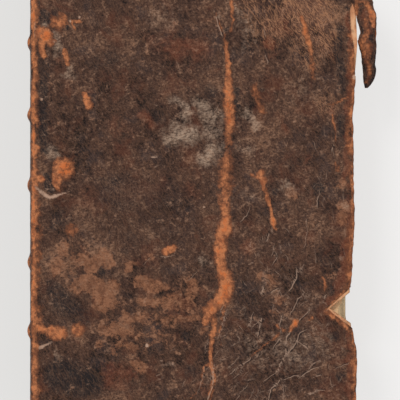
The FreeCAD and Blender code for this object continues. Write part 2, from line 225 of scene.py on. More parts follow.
bpy.ops.object.camera_add(location=(*VIEW_CENTRE, VIEW_HEIGHT), rotation=(0, 0, 0))
camera = bpy.context.object
camera.data.sensor_width = SENSOR
camera.data.lens = SENSOR * (VIEW_HEIGHT - COVER_TOP) / VIEW_WIDTH
camera.data.clip_end = 20
bpy.context.scene.camera = camera
bpy.context.scene.view_settings.view_transform = "Standard"


# The leather over the front board: calf of about 0.8 mm, pasted on, folded round
# the board's edges and turned in. It is rubbed to orange-brown where it stands
# proud, crazed all over and torn at the fore edge.

HINGE_X = frame["joints"][0]["pos_m"][0]
SEAM_X = HINGE_X - 0.4 * mm
GRAIN_STEP = 0.62 * mm
BOARD_TOP = COVER_TOP - 0.8 * mm
CUT_MARGIN = 1e-6
COVER_HALF_H = 91
JOINT_EDGE_X = -64.4
FORE_EDGE_X = 61.5


def copy_of(node, name):
    """A copy of a solid as one clean mesh: its flat faces whole, its corners merged."""
    piece = frame["nodes"][node].copy()
    piece.data = piece.data.copy()
    piece.name = piece.data.name = name
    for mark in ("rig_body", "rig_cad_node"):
        del piece[mark]
    piece.parent = None
    bpy.context.scene.collection.objects.link(piece)
    piece.data.materials.clear()
    mesh = bmesh.new()
    mesh.from_mesh(piece.data)
    bmesh.ops.remove_doubles(mesh, verts=mesh.verts, dist=2e-6)
    flat = math.radians(0.2)
    bmesh.ops.dissolve_limit(
        mesh, angle_limit=flat, verts=mesh.verts, edges=mesh.edges, use_dissolve_boundaries=False
    )
    return piece, mesh


def cut_across(mesh, faces, axis, spacing):
    """Cuts faces by evenly spaced planes: by the middle one first, and then each half by itself."""
    places = [v.co[axis] for f in faces for v in f.verts]
    plane = spacing * round((min(places) + max(places)) / 2 / spacing)
    if not min(places) + CUT_MARGIN < plane < max(places) - CUT_MARGIN:
        return faces
    normal = Vector([float(i == axis) for i in range(3)])
    geometry = set(faces).union(*[(*f.verts, *f.edges) for f in faces])
    cut = bmesh.ops.bisect_plane(
        mesh, geom=list(geometry), dist=1e-7, plane_co=normal * plane, plane_no=normal
    )
    halves = [], []
    for face in cut["geom"]:
        if isinstance(face, bmesh.types.BMFace):
            halves[face.calc_center_median()[axis] > plane].append(face)
    return [f for half in halves if half for f in cut_across(mesh, half, axis, spacing)]


def finish_mesh(piece, mesh, material):
    """Writes the mesh back and shades it smooth."""
    bmesh.ops.recalc_face_normals(mesh, faces=mesh.faces)
    mesh.to_mesh(piece.data)
    mesh.free()
    piece.data.materials.append(material)
    piece.data.shade_smooth()
    piece.data.set_sharp_from_angle(angle=math.radians(50))


def points_of(piece):
    """Where the piece's points are, in millimetres."""
    spots = np.empty(len(piece.data.vertices) * 3)
    piece.data.vertices.foreach_get("co", spots)
    return spots.reshape(-1, 3) / mm


def move_points(piece, spots):
    """Moves the piece's points to the spots, and none of them out of the solids' box."""
    low, high = (np.array(list(corner)) for corner in cad_box)
    piece.data.vertices.foreach_set("co", np.clip(spots * mm, low, high).ravel())
    piece.data.update()


def facing_of(piece):
    """The direction that each point of the piece faces."""
    facing = np.empty(len(piece.data.vertices) * 3)
    piece.data.vertices.foreach_get("normal", facing)
    return facing.reshape(-1, 3)


def waves(spots, size, seed):
    """Smooth noise about 0 at each point, with features of about size, in mm."""
    shift = Vector((seed * 7.3, seed * 3.1, seed * 5.7))
    return np.array([noise.noise(Vector(p) / size + shift) for p in spots])


def ragged(spots, size, reach, seed):
    """Points moved about by noise, so that what is drawn by them gets a ragged edge."""
    shift = Vector((seed * 2.9, seed * 8.1, seed * 1.7))
    moved = [noise.noise_vector(Vector(p) / size + shift) for p in spots]
    return spots + reach * np.array(moved)


def nearest(flat, stroke):
    """For each point: how far a stroke is, on which side, and its width and strength there."""
    stroke = np.array(stroke, float)
    best = np.full(len(flat), 1e9)
    side, width, strength = np.ones(len(flat)), np.zeros(len(flat)), np.zeros(len(flat))
    ends = zip(stroke[:-1], stroke[1:]) if len(stroke) > 1 else [(stroke[0], stroke[0])]
    for a, b in ends:
        run = b[:2] - a[:2]
        along = ((flat - a[:2]) @ run) / max(run @ run, 1e-9)
        along = np.clip(along, 0, 1)
        gap = flat - a[:2] - along[:, None] * run
        far = np.hypot(gap[:, 0], gap[:, 1])
        near = far < best
        best[near] = far[near]
        side[near] = np.where(run[0] * gap[near, 1] - run[1] * gap[near, 0] >= 0, 1, -1)
        width[near] = (a[2] + (b[2] - a[2]) * along)[near]
        strength[near] = (a[3] + (b[3] - a[3]) * along)[near]
    return best, side, width, strength


def drawn(flat, strokes, firm=1.0):
    """A field that is each stroke's strength on its line, and 0 at its width from it.

    A firm stroke keeps its strength nearly to its edge.
    """
    field = np.full(len(flat), -1.0)
    for stroke in strokes:
        far, _, width, strength = nearest(flat, stroke)
        fall = np.minimum(firm * (1 - far / width), 1)
        field = np.maximum(field, strength * np.maximum(fall, -1))
    return field


def store(piece, name, values):
    layer = piece.data.attributes.new(name, "FLOAT", "POINT")
    layer.data.foreach_set("value", np.asarray(values, np.float32))


# Each stroke is a list of points (x, y, half width, strength), in mm on the cover
MIDDLE_CREASE = [
    [(11.8, 61.6, .68, .49), (12.6, 58.4, .94, .78), (13.2, 52.8, 1.14, .88), (13.8, 47.2, 1.46, .93),
     (13.6, 41.6, 2.18, .93), (13.6, 36, 2.7, 1.03), (14, 30.4, 2.7, 1.08), (14, 25.6, 2.29, .83),
     (13.6, 22.4, 2.08, .44), (13.4, 16, 2.6, .34), (13, 10, 3.12, .49), (12.4, 4, 3.38, .54),
     (12, -2.4, 3.38, .49), (12.2, -7.2, 2.34, .69), (12.6, -11.2, 2.86, .88), (11.6, -16, 3.9, .93),
     (10.8, -20.4, 2.86, .88), (10.2, -24.4, 3.38, 1.03), (9.8, -27.6, 2.6, .83),
     (10.8, -30.4, 2.39, .78), (11.8, -33.6, 3.9, .88), (12.6, -38, 3.9, .98), (11.8, -42.4, 3.64, .98),
     (7.8, -46, 3.64, .93), (5.4, -49.2, 3.12, .83), (4.2, -53.6, 1.56, .59)],
]
CREASE_TAILS = [
    [(14.8, 76, .74, .45), (15.2, 70.4, .83, .55), (15, 65.2, .74, .5), (14.6, 63.2, .46, .4)],
    [(8.6, 71.2, .41, .5), (9.4, 67.2, .55, .7), (11, 63.6, .55, .6)],
    [(7.8, -51.2, 1.56, .5), (7.4, -57.6, 1.66, .8), (6.6, -62, 1.2, .8), (6.2, -66.8, 1.1, .75),
     (7, -70.8, 1.2, .8), (7.8, -74.4, 1.01, .75), (7, -78.4, .92, .6), (5.8, -84, 1.1, .6)],
    [(6.6, -68.8, .83, .6), (3.8, -71.2, .74, .6), (3, -75.2, .64, .5), (2.2, -80, .55, .5),
     (-1.8, -83.2, .83, .5)],
    [(12.2, -46.4, .83, .6), (11.4, -50.4, .64, .5), (10.6, -55.2, .64, .5), (9, -59.2, .55, .4)],
]
RIGHT_CREASES = [
    [(26.6, 7.2, 1.98, .57), (27.4, 3.2, 1.76, .71), (28.2, 0, 1.14, .76), (29.4, -4, 1.23, .85),
     (30.6, -8.8, 1.06, .9), (31.4, -12.8, 1.23, 1), (32.2, -15.6, .97, .76)],
    [(42.6, 70.4, 1.32, .43), (43.4, 68, 1.14, .76), (44.4, 64, 1.14, .9), (45.2, 60, 1.32, .85),
     (46.2, 57.6, 1.41, .71), (46.6, 54.4, 1.5, .52), (47, 50.4, 1.32, .33), (47.4, 44.8, .88, .28)],
    [(23.8, 41.6, 1.54, .38), (24.2, 38.8, 1.76, .47), (25.8, 35.2, 1.5, .47), (27, 31.2, 1.5, .47)],
    [(25.4, 6.4, 1.32, .47), (23, 5.6, 1.14, .33)],
    [(41.6, -52, .7, .85), (40.2, -53.2, 1.5, 1.19), (39, -55.2, 1.32, 1.19), (38.2, -56.8, .62, .66)],
    [(51.4, -35.2, .7, .57), (52.2, -38, 1.06, .81), (52, -40.4, .7, .57)],
    [(55.4, 30.4, .44, .47), (55.6, 27.2, .62, .62), (56.2, 22.4, .53, .47), (57, 17.6, .44, .38)],
    [(57, 10.8, .66, .47), (57.4, 8, .88, .47)],
    [(61.4, 37.2, .62, .47), (58.6, 36, .7, .47), (55, 34.4, .62, .43), (51.8, 33.6, .44, .33)],
    [(33.8, -58, .88, .43), (31, -60, .62, .52), (27.8, -62.4, .62, .71), (24.6, -64.8, .57, .71),
     (22.6, -66.8, .44, .47)],
    [(35.8, -56, 1.06, .47), (32.6, -54.4, 1.06, .38)], [(11, -52.8, .53, .38), (10.2, -62, .44, .28)],
    [(47.4, -51.2, .88, .43), (46.2, -52, .88, .38)],
]
WORN_SPOTS = [
    [(-61.2, 62.8, 3.25, 1), (-59.6, 61.8, 3.48, 1.35)],
    [(-62.6, 62.8, 2.09, .75), (-62.2, 65.2, 1.16, .6)],
    [(-61, 58.8, 2.32, .9), (-61.2, 56.4, 1.48, .65), (-60.2, 53.6, 1.39, .6)],
    [(-57.8, 58.8, 2.13, .6), (-56.2, 59.6, 1.21, .5)], [(-54.6, 67.2, 3.94, .5), (-53, 68, 3.02, .5)],
    [(-49.4, 67.6, .84, .7), (-47.4, 67.6, 1.02, .55), (-45.8, 67.2, .74, .4)],
    [(-49, 66.4, .56, .5), (-47.8, 64.4, .56, .5)], [(-53.8, 70.8, 1.11, .45), (-51.8, 69.6, .84, .4)],
    [(-51.8, 56, 1.21, .7), (-51.4, 53.2, 1.39, .75), (-50.6, 50.4, 1.11, .5)], [(-52.6, 54.8, .74, .7)],
    [(-52.6, 8.6, 5.34, 1), (-52.2, 8.8, 5.1, 1.05)], [(-51, 9.2, 3.25, 1.15)],
    [(-55, 5.6, 2.55, .95), (-55, 2.4, 2.04, .75), (-54.6, .4, 1.11, .5)],
    [(-63.4, 17, 1.58, .8), (-62.4, 17, 1.21, .75)], [(-63, 4.8, 2.13, .7), (-61.2, 4.4, 1.76, .8)],
    [(-63.8, 2.4, 1.39, .9)], [(-49, -16.4, 3.25, .5)],
    [(-44.2, 38.4, 1.39, .8), (-43, 36, 2.13, .9), (-42.2, 33.6, 1.95, .8)],
    [(-11.8, -24.8, 1.86, .75), (-10.2, -24, 2.23, .9), (-8.2, -23.2, 1.67, .75)],
    [(-63.8, -54.8, 2.32, .9), (-60.2, -56, 2.04, .65)],
    [(-56.2, -57.2, 3.94, .85), (-54.2, -57.2, 3.71, .8)],
    [(-46.6, -55.8, 3.34, .62), (-46.4, -55.8, 3.25, .62)],
    [(65.4, 74.4, 1.86, .35), (69, 74.8, 1.39, .5), (70.6, 72, 1.67, .85), (71.4, 69.2, 1.76, 1.05),
     (71.8, 65.6, 1.39, .8)],
    [(72.8, 63.6, .74, .8), (73, 61.2, .56, .5)], [(73, 56.8, .56, .6)],
    [(68.6, 68, 1.39, .35), (68.6, 62.8, 1.58, .45), (67.6, 57.6, 1.58, .55), (67.8, 53.6, 1.21, .45)],
    [(69.8, 57.6, 1.39, .4), (70, 52, 1.21, .5), (70.2, 46.4, 1.11, .45)], [(69, 43.2, 1.02, .5)],
    [(52.6, -48.4, 1.48, .45), (55.8, -50.8, 1.58, .5), (58.6, -53.2, 1.48, .5), (61, -55.2, 1.11, .4)],
    [(55, -45.2, .56, .4), (59.8, -40.4, .56, .45)],
]
TAN_PATCHES = [
    [(-36.2, -26.4, 3.6, 1), (-34.2, -29.2, 3.2, 1)], [(-39.4, -28.8, 2.8, .9), (-41.8, -32, 3.2, .9)],
    [(-47.4, -38.8, 3.2, .8), (-43.4, -36.4, 4, .95), (-39.4, -38.8, 4.8, 1), (-35.4, -42, 4.8, 1),
     (-32.6, -38.4, 3.2, 1)],
    [(-37, -46, 4, .9), (-33, -45.2, 2.8, .7)], [(-54.6, -28.8, 2.8, .75), (-55.8, -32.8, 2.4, .7)],
    [(-53, -24.8, 2.4, .6), (-46.6, -26.8, 2.4, .7), (-42.6, -28.8, 2.4, .75)], [(-51.4, -22, 2.4, .45)],
    [(-26.6, -30.8, 2.8, .65), (-23.4, -29.6, 1.6, .5)],
    [(-22.6, -36.8, 3.2, .7), (-18.6, -37.6, 3.6, .8), (-14.6, -39.2, 3.2, .8), (-11.4, -39.2, 2, .6)],
    [(-21, -44.8, 2.4, .5), (-17, -45.6, 2.4, .6), (-11.8, -45.2, 3.6, .8), (-8.6, -42.4, 2.4, .6)],
    [(-26.6, -50.8, 2.8, .55), (-29.4, -56.4, 3.6, .6), (-35.4, -56.4, 3.6, .5)], [(-21.8, -62, 2.4, .45)],
    [(-31.8, -64.4, 2.4, .5)], [(-21.4, -70.4, 3.2, .55)], [(-9.8, -52.8, 3.2, .5)],
    [(-17.8, -56, 12, .22)], [(-30.6, -52.8, 8.8, .25)],
    [(-37, -56, 2.4, .55), (-31.4, -54.4, 2.4, .6), (-25.8, -56.8, 2, .55)],
    [(-30.6, -61.6, 2.4, .5), (-23.4, -63.2, 2.4, .5)], [(-24.2, -52, 2, .6), (-19.4, -49.6, 2, .55)],
    [(-11.4, -52, 2, .55), (-4.2, -51.2, 2, .6), (1.4, -51.2, 1.6, .5)],
    [(-24.2, -69.6, 2, .6), (-21, -72.8, 2, .55)], [(4.2, -56, 2.4, .45)], [(-13.8, -57.6, 2, .4)],
    [(-37.8, -62, 2, .4)], [(-5, -44, 8.8, .25)], [(-49, -28.8, 8, .2)],
    [(-1, -37.6, 3.2, .75), (-1.8, -42.4, 2.8, .6)], [(-17.8, -27.2, 2, .45)],
    [(38.2, -.8, 2.8, .7), (39.8, -2.4, 2, .6)], [(27, -34.4, 2.4, .5), (30.6, -36, 3.2, .5)],
    [(58.2, 2.4, 2.8, .5)], [(59.8, -6.4, 3.2, .7), (59.4, -12, 3.2, .65)],
    [(34.2, -44, 2.4, .4), (31.8, -48, 2.4, .4)], [(54.2, -34, 2, .3)],
]
BLOOM_PATCHES = [
    [(-7.4, 36.4, 2.76, .7), (-3.4, 33.2, 3.22, .7), (-3.4, 29.6, 3.68, .85)],
    [(-7.4, 23.2, 4.6, .9), (-1.8, 22.4, 5.52, 1.1), (-10.6, 20.4, 4.14, .8)], [(-3.4, 26.4, 4.14, .7)],
    [(.6, 33.6, 4.14, .7), (5, 32, 5.06, .8), (7.8, 28.8, 5.52, .7)],
    [(4.6, 24.8, 4.6, .6), (8.6, 21.6, 4.14, .6)], [(7.8, 16, 5.06, .8), (4.6, 12, 4.6, .85)],
    [(11.8, 17.6, 3.68, .6)], [(21, 30.4, 3.68, .5), (24.6, 25.6, 3.22, .7)], [(20.6, 16, 4.6, .4)],
    [(37.4, .8, 4.6, .6)], [(12.6, -3.2, 4.14, .4)], [(22.2, -3.2, 3.68, .35)], [(3.8, -28.8, 3.22, .45)],
    [(-55, 62.4, 1.84, .7), (-54.6, 58.4, 2.07, .75), (-55.4, 55.2, 2.3, .6)],
    [(-61.8, 65.6, .92, .5), (-59.8, 65.4, 1.2, .7)], [(-57.8, 16, 2.76, .6), (-56.2, 13.6, 3.22, .6)],
    [(-52.2, 46.4, 1.84, .6), (-48.2, 45.6, 2.3, .5), (-51.4, 51.2, 2.3, .3)],
    [(19.8, 68, 4.6, .3), (20.6, 59.2, 3.68, .35), (16.6, 72, 2.76, .3)], [(9.4, 70.4, 2.3, .6)],
    [(-13.8, 68, 7.36, .25)], [(38.2, -64, 11.96, .3), (48.2, -62, 9.2, .3)], [(22.2, -64, 9.2, .2)],
    [(42.2, 40, 6.44, .1)], [(-55.4, -66, 2.3, .5)], [(59.8, -27.2, 1.84, .5)], [(60.2, -6.4, 2.76, .4)],
]
DARK_PATCHES = [
    [(-3.4, -58.4, 3.2, .9)], [(-18.6, -62.8, 2.2, 1.1)], [(-26.6, -47.2, 2.8, .6)],
    [(-37.8, -48, 3.2, .5)], [(-61.4, 70, 3.8, 1.5), (-59.8, 68.8, 3.6, 1.5)], [(-56.2, 70.8, 2.4, .8)],
    [(-50.8, 65.2, 1.44, 1)],
    [(-59.8, 49.6, 2.8, .7), (-60.6, 40, 2.8, .9), (-60.6, 28, 2.8, .9), (-60.2, 16, 2.6, .9)],
    # Painted shadow: the first stroke on the next line darkens, at its lower end, the slit above the curled
    # lip at the joint.
    [(-59.4, 5.6, 2.4, 1.1), (-57.8, .4, 2.8, 1.3)], [(-36.8, -32.8, 2.16, 1.5)],
    [(-38.6, 51.2, 5.6, .6), (-33, 52.8, 5.6, .6)], [(-47.8, 36, 4.8, .35)],
    [(-13.8, 29.6, 5.6, .6), (-17.8, 32.8, 4, .5)], [(-5, 62.4, 3.2, .6)], [(6.2, 39.2, 5.6, .6)],
    [(17, 40, 1.84, 1), (17, 33.6, 1.76, 1), (16.6, 28, 1.2, .7)], [(13, 64, 1.6, .8)],
    [(16.6, 56, 3.2, .5)],
    [(-33.8, 0, 12, .7), (-9.8, -4, 14.4, .5), (-25.8, -16, 12, .4), (2.2, -18, 6.4, .4)],
    [(-53.8, -12, 8, .5)], [(-57, -38, 4.8, .8), (-51.4, -47.2, 8.8, .85), (-44.2, -51.2, 5.6, .7)],
    [(-53.8, -74, 11.2, .95), (-41.8, -78, 8.8, .9)], [(-1.8, -72.8, 4.8, .7)], [(-26.6, -42.4, 2.4, .6)],
    [(-17.8, -64, 2.8, .8)], [(-27.8, -24, 3.6, .6)], [(-17, -28.8, 2.8, .45)], [(-11.4, -32, 4, .5)],
    [(7, -43.2, 3.6, .8)], [(49.4, .8, 4, 1.1)], [(32.2, -.8, 2.4, .8)], [(29.4, 0, 1.2, .6)],
    [(42.2, -6, 8, .4)], [(27, -23.2, 5.6, .4)],
    [(58.2, 64.8, 2.4, .9), (57.4, 57.6, 2.8, .8), (58.6, 48.8, 2.8, .8), (59.4, 40, 2.4, .8)],
    [(58.6, 28.8, 2.4, .9), (59, 22.4, 2.4, .9)], [(38.2, 12, 8, .4)],
    [(52.2, -24, 6.4, .5), (52.6, -28.8, 5.6, .6)], [(20.6, -44, 8.8, .5), (24.6, -52.8, 8, .5)],
    [(42.2, -68, 7.2, .4)], [(56.2, -58.4, 4, .8)], [(58.2, -74.4, 3.6, .9)], [(46.2, 40, 3.2, .4)],
    [(27, 40, 2, .6)], [(12.2, -62, 6.4, .5)], [(22.2, -78, 9.6, .5)], [(50.2, -78, 5.6, .4)],
    # Painted shadow: the next two strokes darken the torn strip's left edge, where it stands off the bared
    # board.
    [(61, 73.2, .64, 1.2), (63, 70.8, .72, 1.3), (64.8, 68.8, .8, 1.4), (65.8, 66, .8, 1.4),
     (66.6, 62.8, .64, 1.3)],
    [(66, 59.6, .96, 1.3), (66.8, 54.4, .96, 1.3), (67.6, 50.4, 1.04, 1.2), (68.2, 45.6, 1.12, 1.3),
     (68.6, 41.6, .96, 1.2)],
    [(70.8, 61.2, 1.76, 1.1), (71.8, 59.2, 1.2, .8)],
    [(73, 54, .72, .8), (72.6, 49.6, 1.04, 1.2), (72.2, 45.6, 1.12, 1.3), (70.6, 42.4, .88, 1.1)],
    [(72.8, 70.4, .4, .6), (73, 65.2, .6, .9)], [(-62.3, 75.2, .8, .9), (-62.8, 69.6, .56, 1)],
    [(-63, 57.2, .64, .9), (-62.8, 52, .8, 1)], [(54.6, -46.4, .4, .9), (57.8, -42.8, .4, .9)],
]
RUST_PATCHES = [
    [(-34.6, -70.4, 4, .6)], [(-17.8, -44, 3.2, .4)], [(30.2, 58.4, 4.4, 1)], [(30.2, 53.6, 3.2, .7)],
    [(-9.8, 58, 9.6, .6), (2.2, 56, 7.2, .6)], [(4.6, 62.4, 2.4, .6)], [(-17.8, 61.6, 4.8, .4)],
    [(-19.8, 29.6, 5.6, .7), (-17.8, 27.2, 4.8, .7)], [(-29.8, 24, 8, .4)],
    [(-41.8, -2.4, 7.2, .5), (-13.8, 2, 6.4, .5)], [(-1.8, 0, 6.4, .5)],
    [(-33.8, -75.2, 8, .7), (-25.8, -72.8, 6.4, .7)], [(-9, -48, 4.8, .6)], [(20.6, -23.2, 5.2, .6)],
    [(44.6, 12, 4, .6)], [(47, -5.2, 2.4, .6)], [(36.6, 24.8, 3.6, .6)], [(36.6, 64, 5.6, .5)],
    [(54.2, 32, 3.6, .6)], [(61, 7.2, 2.8, 1.1)],
    [(60.6, -20, 2.4, .9), (60.2, -34, 3.6, 1), (56.6, -40.8, 3.6, .9)], [(54.2, -31.2, 2.4, .4)],
    [(61.4, -60, 2, .8), (61.4, -72, 2, .6)], [(51, -80, 4.8, .4)], [(32.6, -44, 4, .4)],
    [(-42.6, 39.2, 2.8, .5)], [(63, 48, 2.4, 1), (62.6, 36, 2, .9)],
    [(68.6, 70.4, 4.8, .9), (69.8, 62.4, 3.6, .8), (69.4, 53.6, 3.2, .8), (69.4, 44, 2.4, .6)],
    [(61.4, 70.4, 1.6, 1), (62.2, 64, 1.2, 1.1), (63, 57.6, 1.6, 1.1), (63.4, 51.2, 2, 1.2),
     (63, 46, 2, 1.1)],
    [(61.8, 40, 2.4, .9), (61, 32, 2.4, .8), (60.6, 16, 2, .8), (61, 0, 2, .6), (61.4, -16, 2.4, .9),
     (62.2, -36, 2.4, 1)],
    [(61.8, -58, 2.4, .8), (61.8, -84, 2.4, .8)], [(53, -46, 2, 1), (55.8, -42.4, 2.4, 1)],
    [(4.2, -80, 4, .5)], [(-5, -59.2, 4, .4)], [(12.6, 4, 4.8, .5)], [(-53.8, 52, 3.2, .4)],
    [(42.2, 32, 4, .3)],
]
HAIR_PATCHES = [
    [(44.2, 75.2, 13.6, 1), (49.4, 71.2, 8.8, .9)], [(44.6, 65.6, 8, .6), (46.2, 52, 5.6, .3)],
    [(30.2, 66, 8.8, .5)], [(52.2, 34.4, 4, .25)], [(24.2, 74, 6.4, .4)], [(51, 60, 7.2, .5)],
]
PALE_MARKS = [
    # Painted highlight: this first stroke follows the curled lip at the joint and paints it pale, as the
    # light on its lifted edge.
    [(-64.2, 1.6, 1.04, .42), (-62.2, 0, 1.04, .68), (-59.8, -2, 1.2, .85), (-57.8, -3, 1.28, .94),
     (-55, -2.2, .8, .85), (-51.8, -1.2, .56, .68), (-49.8, -.6, .36, .51)],
    [(-59.4, .4, .64, .42), (-56.2, .2, .72, .42)], [(-49.8, 67.6, .88, 1.1)], [(-46.2, 69, .76, .94)],
    [(-61, 36.4, .76, .94)], [(-19, -62.2, .84, 1.36)], [(-13.4, -68.4, .72, .77)],
    [(-13, -70, 1.36, .34), (-10.2, -69.6, 1.76, .42), (-8.6, -70, 1.36, .34)],
    [(-17, 13, .6, .68), (-15, 13.2, .56, .68)], [(-15.8, 9.2, .52, .68), (-14.2, 9.6, .48, .68)],
    [(-16.2, 34.4, .48, .42), (-14.6, 33.6, .48, .42)], [(-11, 38.2, .52, .51)], [(6.2, 33.6, .48, .59)],
    [(7, 31.6, .64, .59)], [(7.8, 28.8, .48, .51)], [(-5.8, 36.8, .32, .51), (-5, 34.8, .32, .51)],
    [(3.8, -6.8, .72, .85)], [(21.4, -30, .44, .59), (23.4, -29.2, .44, .59)], [(36.6, -1.6, 1.04, .34)],
    [(39.4, -36.8, .64, .42), (41, -35.6, .72, .51), (41.2, -32.8, .4, .42)],
    [(35.4, 15.6, .36, .51), (36.6, 18, .36, .59)],
    [(-61.8, -63.2, .96, .68), (-59.4, -62, .72, .68), (-56.6, -60.4, .36, .51)], [(-56.2, -66, .64, .34)],
    [(-57, -23.2, .52, .51)], [(-60.6, 22.8, .4, .51), (-59.8, 22, .4, .51)], [(-59, 17.6, .52, .42)],
    [(-63.6, 68, .28, .42), (-64, 64, .48, .68), (-64, 60.8, .32, .42)],
    [(-13.8, -26.4, .4, .42), (-11.4, -27, .52, .68), (-8.2, -26, .48, .51), (-7, -22.4, .4, .42)],
    [(-17, -23.2, .32, .42), (-14.6, -22.8, .32, .42)], [(-55.4, 64.2, .56, .51)],
    [(-56.2, 59.2, .88, .59)], [(-49, 45.6, .8, .42)], [(-51.4, 54.8, .44, .42)],
    [(27.8, -32.8, 1.6, .34), (28.2, -36.8, 1.76, .38), (27, -40.4, .64, .42)],
    [(32.6, -27.2, .48, .51), (31.8, -23.6, .4, .42)], [(28.6, -19.2, .36, .51), (29.8, -17.6, .36, .51)],
    [(31.8, -20.4, .36, .42)], [(61, 0, .56, .42)], [(46.2, -81.8, .72, .85)],
    [(64.2, 45.2, 1.2, 1.27), (65, 45.2, 1.2, 1.27)],
    [(64.9, 57.2, .56, .59), (65.1, 52, .64, .77), (64.9, 46, .64, .77), (64.8, 37.6, .48, .51)],
]
# A crack's points are (x, y, its half width, its strength)
CRACKS = [
    [(44.2, -41.2, .17, .84), (41.4, -43.6, .2, 1.16), (39.8, -46.8, .17, 1.05), (38.2, -50, .17, .63)],
    [(46.6, -47.6, .2, .95), (44.2, -49.6, .24, 1.37), (42.2, -52, .2, 1.16)],
    [(38.2, -57.2, .24, 1.16), (36.6, -59.2, .24, 1.26), (36.2, -62.4, .24, 1.05),
     (36.6, -64.8, .2, 1.05), (35.4, -67.6, .2, 1.26), (34.2, -70.4, .2, 1.26), (32.6, -73.2, .2, 1.05),
     (30.6, -74.4, .17, .84), (28.2, -76.4, .17, .63)],
    [(44.6, -56, .17, .63), (42.2, -57.2, .2, 1.16), (41, -60.4, .2, 1.16), (39.4, -63.2, .2, 1.26),
     (37.4, -65.2, .2, 1.16), (35.8, -68, .17, .84)],
    [(22.6, -66.8, .17, .84), (21.8, -68.4, .17, 1.05), (19, -69.6, .2, 1.16), (16.6, -71.6, .2, 1.16),
     (14.2, -73.6, .17, .73)],
    [(34.2, -59.2, .17, .73), (32.2, -62, .17, .95), (31, -64.4, .17, .53)],
    [(34.6, -75.6, .17, .84), (32.6, -77.6, .2, 1.26), (30.6, -79.6, .2, 1.26), (29.8, -84, .2, .95)],
    [(50.2, -68, .17, .73), (47.4, -69.6, .17, 1.05), (45.8, -71.6, .17, .63)],
    [(41.8, -74.8, .17, .73), (44.6, -73.2, .2, 1.16), (47.8, -71.6, .17, 1.05), (51, -70.4, .17, .53)],
    [(46.6, -75.6, .17, .84), (50.2, -74, .17, 1.05)],
    [(35.8, -76, .17, .73), (38.6, -74.8, .17, 1.16), (41.4, -74, .17, .73)],
    [(17.8, -66.4, .17, .63), (16.2, -68.8, .17, 1.05), (13.8, -70.8, .17, .84)],
    [(19.4, -72.4, .14, .63), (15.8, -75.2, .14, .73)], [(52.2, -42.4, .27, .95), (51, -45.6, .24, .73)],
    [(27.4, -39.6, .27, 1.16), (27, -41.6, .2, .95)],
    [(27, -51.2, .2, 1.26), (26.2, -54.4, .2, 1.26), (25.4, -58.4, .17, .84)],
    [(23.4, -48.8, .14, .73), (22.2, -54, .14, .84)],
    [(40.6, -31.2, .2, .84), (41, -34.8, .27, 1.37), (39.4, -38.4, .24, 1.26), (37.8, -40.4, .2, .84)],
    [(43.8, -30, .14, .63), (41.8, -32.8, .17, .84)],
    [(35, -50.4, .17, .84), (34.2, -53.6, .2, .84), (34.6, -56.8, .17, .63)],
    [(41.4, -60.8, .17, .63), (44.2, -62.4, .2, .84), (46.2, -65.2, .17, .53)],
    [(47, -62, .14, .63), (50.6, -60.4, .17, .73)], [(56.6, -71.2, .17, .63), (61.4, -69.6, .17, .84)],
    [(43.8, -83.2, .17, .73), (46.2, -81.6, .17, 1.05), (48.6, -80.4, .17, 1.05), (51.8, -80, .14, .63)],
    [(35.4, -79.2, .17, .73), (35.8, -84, .17, .84)],
    [(7, -68.8, .2, .84), (7.8, -74.4, .24, 1.05), (7, -79.2, .2, 1.05), (5.4, -84, .24, 1.05)],
    [(3.8, -71.2, .17, .73), (3, -76, .17, .84), (1, -81.6, .17, .73)],
    [(12.6, -48.8, .17, .73), (11, -54, .17, .84), (9.4, -59.2, .17, .63)],
    [(50.2, -.8, .17, .84), (49, -4, .17, .95), (49, -6.8, .2, 1.05)],
    [(44.6, -12, .17, .63), (45, -16.8, .17, .63), (44.2, -22.8, .17, .53)],
    [(48.2, -16, .14, .42), (48.2, -24, .14, .53), (48.6, -28.8, .17, .73)],
    [(27.8, 64, .17, .73), (28.6, 60.8, .14, .53)], [(28.2, 54, .17, .63), (29.4, 50.8, .17, .73)],
    [(9, 68.8, .17, 1.05), (9.8, 64.8, .2, 1.26), (11, 61.6, .17, .84)],
    [(8.2, 31.2, .14, .53), (9.8, 34.4, .14, .53)],
    [(22.2, -7.2, .14, .73), (20.6, -10.4, .17, .84), (18.6, -12.4, .17, .73)],
    [(29, -20, .2, 1.05), (29.8, -17.2, .17, 1.05)], [(31.8, -22.4, .17, .84), (31, -26, .17, .63)],
    [(33, -27.2, .17, 1.05), (31.4, -29.6, .17, .63)], [(34.2, -32, .14, .63), (37, -28.8, .14, .63)],
    [(31, -40.8, .17, .84), (32.6, -40, .17, .84), (34.6, -39.2, .14, .53)],
    [(18.2, -82, .14, .63), (15, -85.6, .14, .63)], [(25.4, -80, .14, .63), (23.8, -84.8, .14, .73)],
    [(54.2, -53.6, .14, .42), (51, -56, .14, .53)], [(-1.8, -35.6, .14, .73), (.6, -33.2, .14, .63)],
    [(-20.2, -29.6, .14, .63), (-17.8, -27.2, .14, .53)], [(-7.4, 52, .14, .32), (-5.8, 48, .14, .42)],
    [(55, 16, .17, .84), (55.4, 17.6, .17, .84), (55.8, 13.2, .14, .53)],
]


def crack_family(count, centre, spread, heading, length, seed):
    """Fine cracks that run about the same way within an oval of the cover."""
    dice = random.Random(seed)
    family = []
    for _ in range(count):
        around, out = dice.uniform(0, 2 * math.pi), math.sqrt(dice.random())
        x = centre[0] + spread[0] * out * math.cos(around)
        y = centre[1] + spread[1] * out * math.sin(around)
        turn = math.radians(heading + dice.gauss(0, 18))
        size = length * dice.uniform(0.5, 1.4)
        strength = dice.uniform(0.2, 0.7)
        crack = []
        for part in range(4):
            crack.append((x, y, 0.15, strength * (0.5 if part in (0, 3) else 1.0)))
            x += size / 3 * math.cos(turn)
            y += size / 3 * math.sin(turn)
            turn += math.radians(dice.gauss(0, 14))
        family.append(crack)
    return family


